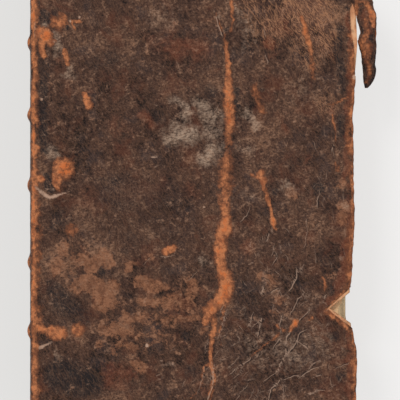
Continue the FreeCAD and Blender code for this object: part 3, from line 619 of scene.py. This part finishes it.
FINE_CRACKS = (
    crack_family(130, (34, -62), (30, 26), 218, 5, 1) + crack_family(40, (36, -58), (26, 26), 120, 3, 2)
    + crack_family(60, (34, -32), (14, 18), 110, 3, 3) + crack_family(30, (54, -10), (8, 34), 95, 5, 6)
    + crack_family(20, (-4, -76), (12, 14), 60, 4, 9)
)


def cracked(flat, cracks):
    """For each point: the nearest crack's strength, and how far it is, in its half widths."""
    reach = 1.6
    presence, across = np.zeros(len(flat)), np.full(len(flat), 9.0)
    best = np.full(len(flat), 1e9)
    for crack in cracks:
        low = np.min([p[:2] for p in crack], axis=0) - reach
        high = np.max([p[:2] for p in crack], axis=0) + reach
        here = np.where(((flat >= low) & (flat <= high)).all(axis=1))[0]
        if not len(here):
            continue
        far, side, width, strength = nearest(flat[here], crack)
        closer = far < best[here]
        spots = here[closer]
        best[spots] = far[closer]
        across[spots] = (side * far / width)[closer]
        presence[spots] = (strength * np.clip(1.5 - far / reach * 1.5, 0, 1))[closer]
    return presence, across


def vary(tree, pattern, amount):
    """A pattern's swing about 0, so that it can break up a value."""
    return sums(tree, "MULTIPLY", sums(tree, "SUBTRACT", pattern, 0.5), amount)


def threads(tree, pattern, width):
    """Thin lines, where a pattern passes through its middle."""
    return step(tree, sums(tree, "ABSOLUTE", sums(tree, "SUBTRACT", pattern, 0.5)), width, 0.0)


def specks(tree, where, spacing, reach, share):
    """Small round spots, in the given share of the cells of a pattern."""
    cells = tree.nodes.new("ShaderNodeTexVoronoi")
    cells.inputs["Scale"].default_value = 1 / spacing
    tree.links.new(where, cells.inputs["Vector"])
    chance = tree.nodes.new("ShaderNodeSeparateColor")
    tree.links.new(cells.outputs["Color"], chance.inputs[0])
    chosen = step(tree, chance.outputs[0], 1 - share, 1 - 0.7 * share)
    return sums(tree, "MULTIPLY", step(tree, cells.outputs["Distance"], reach, 0.4 * reach), chosen)


def hairs(tree, size, width, turn):
    """Fine long scratches: lines of even height in a smooth noise that is stretched one way."""
    return threads(tree, mottle(tree, place_on(tree, (1, 6, 1), turn), size, 2.0, 0.5, 0.3), width)


def leather_finish(name):
    """Dark calf: mottled brown, rubbed, bloomed and cracked where the piece's own values say, with painted
    shadow and highlight at cracks, slits and the torn strip's edge.
    """
    material, tree, shader = new_material(name, 0.5)
    where = place_on(tree)
    grain = mottle(tree, place_on(tree, (1.5, 1, 1), 0.15), 0.72 * mm, 3, 0.75)
    fine = mottle(tree, where, 1.5 * mm, 4, 0.7, 0.5)
    blotch = mottle(tree, place_on(tree, turn=0.9), 5 * mm, 5, 0.65, 0.8)
    cloud = mottle(tree, place_on(tree, turn=2.1), 20 * mm, 5, 0.6, 0.5)
    hue = mottle(tree, place_on(tree, turn=1.6), 12 * mm, 5, 0.62, 0.4)
    streak = mottle(tree, place_on(tree, (1, 7, 1), 0.1), 0.9 * mm, 4, 0.65)
    ember = mottle(tree, place_on(tree, (1, 1.6, 1), 0.5), 2.6 * mm, 4, 0.68, 0.4)

    depth = sums(tree, "ADD", vary(tree, cloud, 2.2), vary(tree, blotch, 1.5))
    depth = sums(tree, "ADD", depth, vary(tree, fine, 1.35))
    depth = sums(tree, "ADD", depth, vary(tree, grain, 1.7))
    base = tint(tree, step(tree, depth, -0.7, 0.0), colour(23, 16, 14), colour(69, 47, 38))
    base = tint(tree, step(tree, depth, 0.0, 0.75), base, colour(126, 90, 68))
    base = tint(tree, step(tree, hue, 0.52, 0.68, 0, 0.55), base, colour(92, 51, 36))
    base = tint(tree, step(tree, hue, 0.46, 0.32, 0, 0.45), base, colour(58, 50, 50))

    def field(name, coarse, close):
        """A painted value with its edges broken up by the noises."""
        value = sums(tree, "ADD", painted(tree, name), vary(tree, blotch, coarse))
        return sums(tree, "ADD", value, vary(tree, fine, close))

    def coat(share, strength, over):
        """Lays a colour on, thinner where the grain lies deep."""
        return tint(tree, sums(tree, "MULTIPLY", share, strength), base, over)

    grainy = step(tree, grain, 0.36, 0.62, 0.62, 1.0)
    brown = sums(tree, "MULTIPLY", step(tree, field("hair", 1.6, 0.8), 0.0, 0.9), grainy)
    base = coat(brown, 0.55, colour(126, 85, 66))
    rust = sums(tree, "MULTIPLY", step(tree, field("rust", 1.8, 1.0), 0.1, 1.0), grainy)
    base = coat(rust, 0.8, colour(108, 56, 37))
    # The dark field is the leather's dark patches, and also painted shadow in the spine's joint slits, in the
    # slit above the curled lip and along the torn strip's left edge.
    dark = step(tree, field("dark", 1.3, 0.7), 0.2, 0.95)
    base = coat(dark, 0.86, colour(34, 30, 31))
    tan = sums(tree, "MULTIPLY", step(tree, field("tan", 2.6, 2.2), 0.05, 0.62), grainy)
    bared = tint(tree, step(tree, ember, 0.36, 0.62), colour(114, 72, 50), colour(158, 106, 76))
    base = coat(tan, 0.86, bared)
    bloom = sums(tree, "MULTIPLY", step(tree, field("bloom", 2.0, 2.0), -0.1, 1.3),
                 step(tree, grain, 0.38, 0.62, 0.3, 1.0))
    base = coat(bloom, 0.95, colour(176, 150, 128))

    light = sums(tree, "MULTIPLY", step(tree, grain, 0.54, 0.72), step(tree, cloud, 0.42, 0.62, 0.08, 0.5))
    base = tint(tree, light, base, colour(146, 117, 99))
    base = tint(tree, step(tree, grain, 0.44, 0.28, 0, 0.6), base, colour(24, 17, 16))
    web = sums(tree, "MULTIPLY", threads(tree, streak, 0.035), step(tree, cloud, 0.4, 0.7, 0.05, 0.4))
    base = tint(tree, web, base, colour(136, 104, 82))
    scratches = sums(tree, "MAXIMUM", hairs(tree, 1.5 * mm, 0.028, 0.55), hairs(tree, 1.2 * mm, 0.026, 0.85))
    scratches = sums(tree, "MAXIMUM", scratches, hairs(tree, 1.7 * mm, 0.02, 0.2))
    scratched = sums(tree, "MULTIPLY", scratches, step(tree, painted(tree, "hair"), -0.5, 0.8, 0.06, 0.95))
    base = tint(tree, scratched, base, colour(168, 120, 88))

    rub = sums(tree, "ADD", field("rub", 1.3, 1.3), vary(tree, streak, 0.7))
    base = tint(tree, step(tree, rub, 0.0, 0.34, 0, 0.72), base, colour(112, 68, 46))
    heart = step(tree, rub, 0.2, 0.85)
    patchy = step(tree, fine, 0.36, 0.6, 0.66, 0.97)
    worn = tint(tree, step(tree, ember, 0.32, 0.56), colour(150, 88, 58), colour(202, 128, 84))
    base = tint(tree, sums(tree, "MULTIPLY", heart, patchy), base, worn)
    base = tint(tree, step(tree, rub, 0.85, 1.3, 0, 0.8), base, colour(206, 110, 58))
    worn_grain = sums(tree, "MULTIPLY", heart, step(tree, depth, 0.1, -0.6, 0, 0.62))
    base = tint(tree, worn_grain, base, colour(92, 53, 36))
    # The pale field is pale scratches and spots, and also a painted highlight on the curled lip at the joint.
    pale = step(tree, sums(tree, "ADD", painted(tree, "pale"), vary(tree, fine, 1.2)), 0.1, 0.95, 0, 0.85)
    base = tint(tree, pale, base, colour(194, 158, 134))

    line = sums(tree, "ADD", painted(tree, "crack_across"), vary(tree, fine, 2.2))
    strong = step(tree, sums(tree, "ADD", painted(tree, "crack"), vary(tree, blotch, 1.6)), 0.1, 1.1)
    # Painted shadow: a dark band along one side of each crack, as cast by its lifted edge.
    shade = step(tree, sums(tree, "ABSOLUTE", sums(tree, "SUBTRACT", line, 2.4)), 2.0, 0.5)
    shade = sums(tree, "MULTIPLY", shade, sums(tree, "MULTIPLY", strong, 0.7))
    base = tint(tree, shade, base, colour(28, 21, 21))
    # Painted highlight: the crack's own line is painted pale, as the light on its lifted crest; the crest
    # also drives a bump below.
    crest = sums(tree, "MULTIPLY", step(tree, sums(tree, "ABSOLUTE", line), 1.5, 0.5), strong)
    base = tint(tree, sums(tree, "MULTIPLY", crest, 0.72), base, colour(168, 138, 118))
    fill(tree, shader.inputs["Base Color"], base)

    gloss = sums(tree, "ADD", step(tree, blotch, 0.3, 0.7, 0.44, 0.64), sums(tree, "MULTIPLY", heart, 0.2))
    fill(tree, shader.inputs["Roughness"], gloss)
    shader.inputs["Specular IOR Level"].default_value = 0.1
    relief(tree, shader, [
        (fine, 0.26 * mm), (grain, 0.16 * mm), (streak, 0.08 * mm), (blotch, 0.4 * mm), (crest, 0.12 * mm),
    ])
    return material


def paint_leather(piece, flat, rub, seed, worn=(), spots=(), tan=(), bloom=(), dark=(), rust=(), hair=(),
                  pale=(), cracks=(), slit=-1.0):
    """Stores what the leather's finish reads: wear from the form, what is drawn by strokes, and a slit's
    painted shadow.
    """
    deep = np.column_stack([flat, np.full(len(flat), float(seed))])
    rough = ragged(deep, 2.2, 0.8, seed)[:, :2]
    close = ragged(deep, 1.5, 0.4, seed)[:, :2]
    broad = ragged(deep, 4.5, 2.2, seed)[:, :2]
    store(piece, "rub", np.maximum.reduce([rub, drawn(rough, worn, 1.25), drawn(close, spots, 1.8)]))
    store(piece, "tan", drawn(rough, tan, 2.0))
    store(piece, "bloom", drawn(broad, bloom, 1.3))
    # A slit passed in is stored in the dark field: painted shadow in a joint's gap.
    store(piece, "dark", np.maximum(slit, drawn(rough, dark, 1.6)))
    store(piece, "rust", drawn(broad, rust, 1.3))
    store(piece, "hair", drawn(broad, hair, 1.6))
    store(piece, "pale", drawn(close, pale, 1.4))
    presence, across = cracked(close, cracks)
    store(piece, "crack", presence)
    store(piece, "crack_across", across)


cover_leather = leather_finish("worn_calf")
# The strip's outline, torn finer than its solid: (y, left x, right x)
STRIP_SOLID = [
    (41, 68.7, 69.7), (44.6, 67.7, 72.6), (51.6, 67, 73), (60, 65.9, 73.2), (68.6, 64.9, 73.3),
    (74.4, 62.8, 71.8), (80.8, 61.8, 69),
]
STRIP_TORN = [
    (41, 68.5, 69.8), (42, 68, 71), (44.2, 67.7, 72.3), (46.2, 67.7, 73.05), (48.5, 67.4, 73.1),
    (50.4, 67.1, 72.8), (54, 66.9, 73.05), (57, 66.1, 73.2), (60.4, 65.5, 73.2), (61.8, 66.1, 73.1),
    (62.8, 66.6, 73.2), (64.2, 66.3, 73.1), (66.6, 65.8, 73.25), (69, 65.0, 73.25), (70.6, 64.6, 72.9),
    (72.2, 64.2, 72.2), (76, 62.5, 71.4), (80.8, 61.8, 69.2),
]
# Where the leather of a joint curls up past a slit: points (x, y, half width, height)
CURLED_LIP = [
    (-63.6, 2.4, 1.0, .5), (-62.2, -.2, 1.1, .9), (-60.0, -2.2, 1.2, 1.2), (-57.6, -3.0, 1.3, 1.2),
    (-54.6, -2.2, .9, .9), (-50.4, -.8, .4, .4),
]

front_skin, mesh = copy_of("front_leather", "front_cover_leather")
for v in mesh.verts:
    if v.co.x < HINGE_X + 0.15 * mm:
        v.co.x = SEAM_X
outer = [
    f for f in mesh.faces
    if f.normal.z > 0.2 and f.calc_center_median().z > BOARD_TOP + 0.1 * mm
    or f.calc_center_median().x > FORE_EDGE_X * mm
]
outer = cut_across(mesh, outer, 0, GRAIN_STEP)
outer = cut_across(mesh, outer, 1, GRAIN_STEP)
strip = [v for v in mesh.verts if v.co.x > 66 * mm and v.co.y < 76 * mm]
for _ in range(4):
    bmesh.ops.smooth_vert(mesh, verts=strip, factor=0.5, use_axis_x=False, use_axis_y=False, use_axis_z=True)
finish_mesh(front_skin, mesh, cover_leather)

spots, facing = points_of(front_skin), facing_of(front_skin)
flat = spots[:, :2].copy()
top = np.clip((spots[:, 2] - 33.2) / 0.6, 0, 1) * (facing[:, 2] > 0.1)
rows = np.round(spots[:, 1] / 2).astype(int) + 60
on_board = spots[:, 0] < 65.4 + 0.8 * (spots[:, 1] < 60)
fore = np.array([spots[(rows == r) & on_board, 0].max(initial=60.0) for r in range(rows.max() + 1)])
to_fore = fore[rows] - spots[:, 0]
to_ends = COVER_HALF_H - np.abs(spots[:, 1])
to_joint = spots[:, 0] - JOINT_EDGE_X
edge_wave = 0.5 * waves(spots, 9, 3) + 0.45 * waves(spots, 2.6, 4)
rub = np.maximum.reduce([
    0.72 * (1 - to_joint / np.interp(flat[:, 1], (-10, 50), (3.2, 2.0))) + 0.8 * edge_wave,
    0.55 * (1 - np.abs(to_fore - 0.6) / 2.4) + 0.7 * edge_wave - (to_fore < -0.5),
    0.5 * (1 - to_ends / 2.4) + 0.6 * edge_wave,
])
paint_leather(
    front_skin, flat, rub, 1, MIDDLE_CREASE + CREASE_TAILS + RIGHT_CREASES, WORN_SPOTS, TAN_PATCHES,
    BLOOM_PATCHES, DARK_PATCHES, RUST_PATCHES, HAIR_PATCHES, PALE_MARKS, CRACKS + FINE_CRACKS,
)
sag = 0.16 * waves(spots, 30, 5) + 0.07 * waves(spots, 8, 6) - 0.34
swell = drawn(flat, MIDDLE_CREASE + RIGHT_CREASES + WORN_SPOTS)
away_from_joint = np.clip((spots[:, 0] + 63.2) / 2, 0, 1)
lift = (sag + 0.28 * np.clip(swell, 0, 1)) * away_from_joint
far, side, width, strength = nearest(flat, CURLED_LIP)
lip = strength * np.where(side > 0, np.clip(1 - far / 0.5, 0, 1), np.clip(1 - far / 2.4, 0, 1))
slit = np.where(side > 0, np.clip(1 - np.abs(far - 1.1) / 0.9, 0, 1), 0) * (far < 2.2)
lift += (0.55 * lip - 0.35 * slit) * np.clip((spots[:, 0] + 64) / 1, 0, 1)
spots[:, 2] = np.minimum(spots[:, 2] + top * lift, COVER_TOP / mm)

at_edge = np.clip(1 - (to_fore - 0.4) / 1.6, 0, 1) * on_board * (to_fore > -0.5)
at_edge *= spots[:, 2] > 30.5
crumpled = 0.22 + 0.3 * waves(spots * (0, 1, 0), 5, 44) + 0.22 * waves(spots * (0, 1, 0.4), 1.8, 45)
spots[:, 0] -= at_edge * np.clip(crumpled, 0, 0.6)

solid, torn = np.array(STRIP_SOLID), np.array(STRIP_TORN)
left, right = (np.interp(spots[:, 1], solid[:, 0], solid[:, i]) for i in (1, 2))
share = np.clip((spots[:, 0] - left) / (right - left), -0.2, 1.2)
left, right = (np.interp(spots[:, 1], torn[:, 0], torn[:, i]) for i in (1, 2))
left += 0.3 * waves(spots * (0, 1, 0), 1.5, 41)
right -= 0.25 * (1 + waves(spots * (0, 1, 0), 1.7, 42)) * (spots[:, 1] < 75)
on_strip = (share > -0.1) * np.clip((77 - spots[:, 1]) / 2, 0, 1)
spots[:, 0] += on_strip * (left + share * (right - left) - spots[:, 0])
folds = waves(np.column_stack([spots[:, 0] / 1.3, spots[:, 1] / 7, spots[:, 2] * 0]), 1, 43)
spots[:, 2] += 0.5 * on_strip * (facing[:, 2] > 0.2) * (folds - 0.2)
move_points(front_skin, spots)
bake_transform(front_skin)
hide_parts("front_leather")


# The boards: pasteboard of pasted sheets, 1.8 mm thick, bare where the leather is
# torn. Each is a copy of its solid with the sheets parted at its edges. The front
# one shows in the notch and beside the torn strip.

BARE_FROM_X = 50 * mm
SHEET_T = 0.3


def cut_at(mesh, axis, place):
    """One cut through the whole mesh."""
    normal = Vector([float(i == axis) for i in range(3)])
    geometry = list(mesh.verts) + list(mesh.edges) + list(mesh.faces)
    bmesh.ops.bisect_plane(mesh, geom=geometry, dist=1e-7, plane_co=normal * place, plane_no=normal)


pasteboard, tree, shader = new_material("pasteboard", 0.9)
where = place_on(tree)
fibre = mottle(tree, place_on(tree, (1, 3, 1)), 1.2 * mm, 4, 0.65)
sheets = mottle(tree, place_on(tree, (10, 10, 1)), 0.3 * mm, 2, 0.5)
stain = mottle(tree, where, 6 * mm, 4, 0.6, 0.4)
base = tint(tree, step(tree, fibre, 0.35, 0.65), colour(200, 134, 92), colour(226, 172, 128))
base = tint(tree, step(tree, stain, 0.5, 0.7, 0, 0.6), base, colour(158, 98, 64))
base = tint(tree, step(tree, sheets, 0.45, 0.3, 0, 0.5), base, colour(132, 92, 64))
fill(tree, shader.inputs["Base Color"], base)
relief(tree, shader, [(fibre, 0.15 * mm), (sheets, 0.15 * mm)])

for side in ("front", "back"):
    board, mesh = copy_of(f"{side}_board", f"{side}_pasteboard")
    cut_at(mesh, 0, BARE_FROM_X)
    bare = [f for f in mesh.faces if f.calc_center_median().x > BARE_FROM_X]
    bare = cut_across(mesh, bare, 1, 1.1 * mm)
    bare = cut_across(mesh, bare, 0, 1.1 * mm)
    cut_across(mesh, [f for f in bare if abs(f.normal.z) < 0.5], 2, SHEET_T * mm)
    finish_mesh(board, mesh, pasteboard)
    spots, facing = points_of(board), facing_of(board)
    sheet = np.floor(spots[:, 2] / SHEET_T)
    torn = waves(np.column_stack([spots[:, 0] / 3, spots[:, 1] / 3, sheet * 2.7]), 1, 11)
    upright = np.clip(1 - np.abs(facing[:, 2]) * 1.3, 0, 1) * (spots[:, 0] > 51)
    spots[:, :2] -= facing[:, :2] * (upright * (0.22 + 0.3 * torn))[:, None]
    move_points(board, spots)
    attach(board, f"{side}_cover")
    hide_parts(f"{side}_board")


# The leather over the spine: it is moulded over five raised bands and ends at the
# joints, where the cover pieces go on from it. Bands, joints and caps are rubbed.
# It is a copy of its solid, cut fine on the outside, with its relief pressed in.

SPINE_STEP = 0.7 * mm
RIDGE_EDGE = 0.5 * mm
HALF_T = 17
SPINE_CENTRE_X, SPINE_OUTER_R = 39.26, 106.0

spine_skin, mesh = copy_of("spine_leather", "spine_cover_leather")
for v in mesh.verts:
    if v.co.x > HINGE_X - 0.15 * mm:
        v.co.x = SEAM_X
outer = [
    f for f in mesh.faces
    if f.normal.x < -0.15 or abs(f.normal.y) > 0.6
    or f.normal.z > 0.5 and f.calc_center_median().z > COVER_TOP - RIDGE_EDGE
    or f.normal.z < -0.5 and f.calc_center_median().z < RIDGE_EDGE
]
outer = cut_across(mesh, outer, 1, SPINE_STEP)
outer = cut_across(mesh, outer, 2, SPINE_STEP)
finish_mesh(spine_skin, mesh, cover_leather)
spots, facing = points_of(spine_skin), facing_of(spine_skin)
unrolled = np.column_stack([spots[:, 2] + 200, spots[:, 1]])
height = np.hypot(spots[:, 0] - SPINE_CENTRE_X, spots[:, 2] - HALF_T) - SPINE_OUTER_R
wander = 0.45 * waves(spots, 7, 8) + 0.4 * waves(spots, 2.2, 9)
on_ridge = np.clip((spots[:, 2] - 32) / 1.2, 0, 1) + np.clip((2 - spots[:, 2]) / 1.2, 0, 1)
rub = np.maximum.reduce([
    0.1 + 0.55 * height + 1.2 * wander,
    on_ridge * (0.62 + 0.9 * wander + 0.4 * np.clip(spots[:, 0] + 64.9, -1, 0.6)),
    1.0 - (COVER_HALF_H - np.abs(spots[:, 1])) / 1.8 + wander,
])
# Painted shadow: the slit along each joint ridge is painted dark as the shade in its gap, darker at the head,
# where it is torn open and also pressed in below.
torn_open = np.where(spots[:, 1] > 60.5, 1.6, 0.75)
slit = on_ridge * torn_open * (1 - np.abs(spots[:, 0] + 65.0 + 0.2 * waves(spots, 6, 31)) / 0.55)
spine_cracks = crack_family(120, (217, 0), (16, 90), 90, 7, 21)
spine_cracks += crack_family(60, (217, 0), (16, 90), 5, 5, 22)
panels = [[(217, y, 15, 0.55)] for y in (76, 45, 16, -13, -43, -74)]
paint_leather(spine_skin, unrolled, rub, 2, rust=panels, cracks=spine_cracks, slit=slit)
spots[:, 2] -= 0.5 * np.clip(slit, 0, 1) * (spots[:, 1] > 60.5) * (spots[:, 2] > 33)
outward = facing[:, 0] < -0.1
spots -= facing * (outward * (0.1 + 0.12 * waves(spots, 5, 12) + 0.1 * waves(spots, 1.8, 13)))[:, None]
move_points(spine_skin, spots)
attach(spine_skin, "text_block")
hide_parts("spine_leather")


# The leather over the back board: as the front one is, but whole. The book lies
# on it, so it is rubbed evenly and scuffed at its edges and corners. It is a copy
# of its solid.

BACK_RUBS = [
    [(-50, 60, 5, .5), (-20, 52, 7, .6), (18, 56, 6, .5)], [(30, -40, 9, .5), (44, -52, 6, .7)],
    [(58, 84, 7, .9)], [(58, -84, 8, 1.0)], [(-20, -70, 9, .45)], [(-54, 8.8, 3.4, .9)],
    [(-54, -56, 3.2, .9)], [(-54, 38, 3.0, .8)], [(10, 5, 16, .4)], [(-36, -10, 3, .6), (-8, -22, 2, .6)],
]
NOTCH_Y, NOTCH_HALF = -47.4, 8.5


def in_notch(y):
    """1 at the middle of the notch in the front cover, 0 past its ends."""
    return np.clip(1 - ((y - NOTCH_Y) / NOTCH_HALF) ** 2, 0, 1)


back_skin, mesh = copy_of("back_leather", "back_cover_leather")
for v in mesh.verts:
    if v.co.x < HINGE_X + 0.15 * mm:
        v.co.x = SEAM_X
outer = [f for f in mesh.faces if f.normal.z < -0.2 and f.calc_center_median().z < 0.7 * mm]
outer = cut_across(mesh, outer, 0, 2 * GRAIN_STEP)
edge = [f for f in mesh.faces if f.calc_center_median().x > 61 * mm]
outer = cut_across(mesh, list(set(outer + edge)), 1, 2 * GRAIN_STEP)
finish_mesh(back_skin, mesh, cover_leather)
spots, facing = points_of(back_skin), facing_of(back_skin)
from_ends = COVER_HALF_H - np.abs(spots[:, 1])
from_edge = np.minimum.reduce([62.9 - spots[:, 0], from_ends, spots[:, 0] + 64])
rub = 0.8 * (1 - from_edge / 2.6) + 0.5 * waves(spots, 8, 14) + 0.3 * waves(spots, 2.6, 15)
underside_cracks = crack_family(90, (0, 0), (58, 84), 80, 9, 23)
underside_cracks += crack_family(50, (0, 0), (58, 84), 20, 6, 24)
paint_leather(
    back_skin, spots[:, :2], rub, 3, BACK_RUBS, tan=[[(0, 20, 40, .3)], [(20, -60, 26, .5)]],
    bloom=[[(-20, 30, 14, .6)], [(34, 40, 9, .5)]], dark=[[(-40, -40, 16, .6)], [(40, 0, 14, .6)]],
    rust=[[(-30, 60, 20, .6)], [(30, 10, 24, .5)]], cracks=underside_cracks,
)
under = (facing[:, 2] < -0.1) & (spots[:, 2] < 0.7)
spots[:, 0] -= 0.9 * np.clip((spots[:, 0] - 60) / 2, 0, 1) * in_notch(spots[:, 1])
spots[:, 2] += under * (0.1 + 0.1 * waves(spots, 24, 16) + 0.05 * waves(spots, 6, 17)) * (spots[:, 0] > -62)
move_points(back_skin, spots)
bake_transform(back_skin)
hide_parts("back_leather")


# The leaves: about 270 of rag paper in 20 gatherings, trimmed long ago and uneven
# now. They are one block, a copy of its solid, with the gatherings and leaves
# pressed into its three open edges, and worn back under the notch in the cover.

LEAF_ROW = 0.3
GATHERING_T = 1.34
WORN_FROM_Z, WORN_DEPTH = 28.8, 2.6


def paper_finish(name, clean, aged, edges=False):
    """Rag paper: mottled, foxed and browned, and painted lighter where it lies in shade, as the piece's own
    values say.
    """
    material, tree, shader = new_material(name, 0.85)
    where = place_on(tree)
    cloud = mottle(tree, where, 18 * mm, 5, 0.6, 0.3)
    pulp = mottle(tree, where, 1.6 * mm, 4, 0.6)
    base = tint(tree, step(tree, cloud, 0.35, 0.68), clean, aged)
    base = tint(tree, step(tree, pulp, 0.55, 0.75, 0, 0.3), base, colour(160, 128, 88))
    foxing = specks(tree, where, 7 * mm, 0.22, 0.35)
    foxing = sums(tree, "MULTIPLY", foxing, step(tree, pulp, 0.35, 0.6, 0.2, 0.75))
    base = tint(tree, foxing, base, colour(150, 104, 62))
    browning_and_notch_light = step(tree, sums(tree, "ADD", painted(tree, "browning_and_notch_light"), vary(tree, pulp, 0.5)), 0.2, 0.9, 0, 0.8)
    base = tint(tree, browning_and_notch_light, base, colour(128, 92, 58))
    heights = [(pulp, 0.05 * mm)]
    if edges:
        leaves = mottle(tree, place_on(tree, (33, 33, 1)), 0.22 * mm, 3, 0.7)
        folds = mottle(tree, place_on(tree, (50, 50, 1)), 1.5 * mm, 3, 0.6)
        base = tint(tree, step(tree, leaves, 0.5, 0.3, 0, 0.7), base, colour(118, 90, 62))
        base = tint(tree, step(tree, folds, 0.5, 0.34, 0, 0.55), base, colour(132, 104, 74))
        heights += [(leaves, 0.12 * mm), (folds, 0.2 * mm)]
    fill(tree, shader.inputs["Base Color"], base)
    relief(tree, shader, heights)
    return material


leaf_edges = paper_finish("rag_leaves", colour(214, 188, 148), colour(196, 166, 124), True)
block, mesh = copy_of("text_block", "leaves")
for axis in (0, 1):
    trimmed = [f for f in mesh.faces if f.normal.x > 0.9 or abs(f.normal.y) > 0.9]
    trimmed = cut_across(mesh, [f for f in trimmed if abs(f.normal[1 - axis]) > 0.9], axis, 4 * mm)
trimmed = [f for f in mesh.faces if f.normal.x > 0.9 or abs(f.normal.y) > 0.9]
cut_across(mesh, trimmed, 2, LEAF_ROW * mm)
finish_mesh(block, mesh, leaf_edges)
spots, facing = points_of(block), facing_of(block)
dice = random.Random(30)
leaf_offsets = np.array([dice.random() for _ in range(200)])
gathering_offsets = np.array([dice.random() for _ in range(40)])
row = np.round(spots[:, 2] / LEAF_ROW).astype(int)
gathering = np.floor((spots[:, 2] - 3.6) / GATHERING_T).astype(int)
pressed = 0.16 * leaf_offsets[row] + 0.28 * gathering_offsets[gathering]
pressed += 0.12 * (1 + waves(spots * (0.04, 0.04, 1), 0.9, 18))
open_edge = np.clip((np.maximum(facing[:, 0], np.abs(facing[:, 1])) - 0.5) * 2.5, 0, 1) * (spots[:, 0] > -64)
spots[:, :2] -= facing[:, :2] * (open_edge * pressed)[:, None]
worn = np.clip((spots[:, 2] - WORN_FROM_Z) / (30.4 - WORN_FROM_Z), 0, 1) * in_notch(spots[:, 1])
worn *= (spots[:, 0] > 60) * (0.7 + 0.6 * leaf_offsets[row])
spots[:, 0] -= WORN_DEPTH * worn
move_points(block, spots)
browning_and_notch_light = 0.5 - (COVER_HALF_H - np.abs(spots[:, 1])) / 60 + 0.3 * waves(spots, 16, 19)
browning_and_notch_light -= 0.2 * (facing[:, 0] > 0.5)
# Painted light: the top leaves under the notch are painted far less browned, lighter against the shade they
# lie in.
browning_and_notch_light -= 0.8 * in_notch(spots[:, 1]) * (spots[:, 2] > 27)
store(block, "browning_and_notch_light", browning_and_notch_light)
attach(block, "text_block")
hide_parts("text_block")


# The endpapers: at each cover one blank leaf on the block and one pasted on the
# board, where the leather turned in under it has stained it brown. They are copies
# of their solids, a little cockled.

endpaper = paper_finish("endpaper", colour(232, 198, 154), colour(218, 180, 134))
for side, up in (("front", 1), ("back", -1)):
    for part, body in (("flyleaf", "text_block"), ("pastedown", f"{side}_cover")):
        leaf, mesh = copy_of(f"{side}_{part}", f"{side}_{part}_paper")
        sheet = cut_across(mesh, list(mesh.faces), 0, 2.5 * mm)
        cut_across(mesh, sheet, 1, 2.5 * mm)
        finish_mesh(leaf, mesh, endpaper)
        spots = points_of(leaf)
        if part == "flyleaf":
            spots[:, 2] += up * 0.04 * (1 + waves(spots * (1, 1, 0), 26, 20)) * (spots[:, 0] > -58)
        if part == "flyleaf" and side == "front":
            ragged_back = in_notch(spots[:, 1]) * (1 + 0.5 * waves(spots * (0, 1, 0), 1.7, 21))
            spots[:, 0] -= 3.2 * ragged_back * np.clip((spots[:, 0] - 57) / 4, 0, 1)
        move_points(leaf, spots)
        border = np.minimum(60 - spots[:, 0], 87.6 - np.abs(spots[:, 1]))
        turn_in_stain_and_notch_light = 1.1 - border / (9 if part == "pastedown" else 5) + 0.3 * waves(spots, 12, 22)
        if part == "flyleaf":
            # Painted light: the flyleaves are painted less browned along the notch's stretch of the fore
            # edge, lighter against the shade there.
            turn_in_stain_and_notch_light -= 1.2 * in_notch(spots[:, 1]) * (spots[:, 0] > 50)
        store(leaf, "browning_and_notch_light", turn_in_stain_and_notch_light)
        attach(leaf, body)
        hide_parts(f"{side}_{part}")


# The endbands: linen thread wound over a core at the head and the tail of the
# spine, natural and faded blue by turns. Each is a copy of its solid with the
# windings pressed into it.

WINDING = 0.9

endband_thread, tree, shader = new_material("endband_thread", 0.8)
twist = mottle(tree, place_on(tree, (1, 1, 2.5)), 0.5 * mm, 3, 0.6)
blue = step(tree, painted(tree, "faded_blue"), 0.4, 0.6)
base = tint(tree, blue, colour(176, 148, 108), colour(92, 96, 100))
base = tint(tree, step(tree, twist, 0.5, 0.3, 0, 0.6), base, colour(84, 64, 46))
fill(tree, shader.inputs["Base Color"], base)
relief(tree, shader, [(twist, 0.12 * mm)])
for end in ("head", "tail"):
    band, mesh = copy_of(f"{end}_endband", f"{end}_endband_thread")
    cut_across(mesh, list(mesh.faces), 2, WINDING / 6 * mm)
    finish_mesh(band, mesh, endband_thread)
    spots, facing = points_of(band), facing_of(band)
    turn_of = (spots[:, 2] + 0.12 * spots[:, 1]) / WINDING
    groove = 1 - np.abs(np.sin(math.pi * turn_of))
    spots -= facing * (0.2 * groove ** 2 * (np.abs(facing[:, 2]) < 0.8))[:, None]
    move_points(band, spots)
    store(band, "faded_blue", np.floor(turn_of) % 2)
    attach(band, "text_block")
    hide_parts(f"{end}_endband")


# The sewing: five double hemp cords under the raised bands, their ends laced
# through the boards and beaten flat, and paper linings between the bands. All of
# it is inside, so the solids stay and get their finish here.

hemp, tree, shader = new_material("hemp_cord", 0.9)
strands = tree.nodes.new("ShaderNodeTexWave")
strands.wave_type = "BANDS"
strands.bands_direction = "DIAGONAL"
strands.inputs["Scale"].default_value = 1 / (1.6 * mm)
strands.inputs["Distortion"].default_value = 1.2
tree.links.new(place_on(tree), strands.inputs["Vector"])
fuzz = mottle(tree, place_on(tree), 0.6 * mm, 3, 0.6)
base = tint(tree, strands.outputs["Fac"], colour(112, 86, 58), colour(172, 142, 100))
base = tint(tree, step(tree, fuzz, 0.5, 0.7, 0, 0.5), base, colour(196, 170, 128))
fill(tree, shader.inputs["Base Color"], base)
relief(tree, shader, [(strands.outputs["Fac"], 0.15 * mm), (fuzz, 0.08 * mm)])

lining, tree, shader = new_material("spine_lining_paper", 0.9)
waste = mottle(tree, place_on(tree), 4 * mm, 5, 0.65)
glue = mottle(tree, place_on(tree), 9 * mm, 4, 0.6, 0.8)
base = tint(tree, step(tree, waste, 0.35, 0.65), colour(166, 136, 94), colour(198, 170, 126))
base = tint(tree, step(tree, glue, 0.5, 0.7, 0, 0.7), base, colour(120, 84, 48))
fill(tree, shader.inputs["Base Color"], base)
relief(tree, shader, [(waste, 0.06 * mm)])

for name, node in frame["nodes"].items():
    finish = hemp if "cord" in name or "slip" in name else lining if "lining" in name else None
    if finish:
        node.data.materials.clear()
        node.data.materials.append(finish)
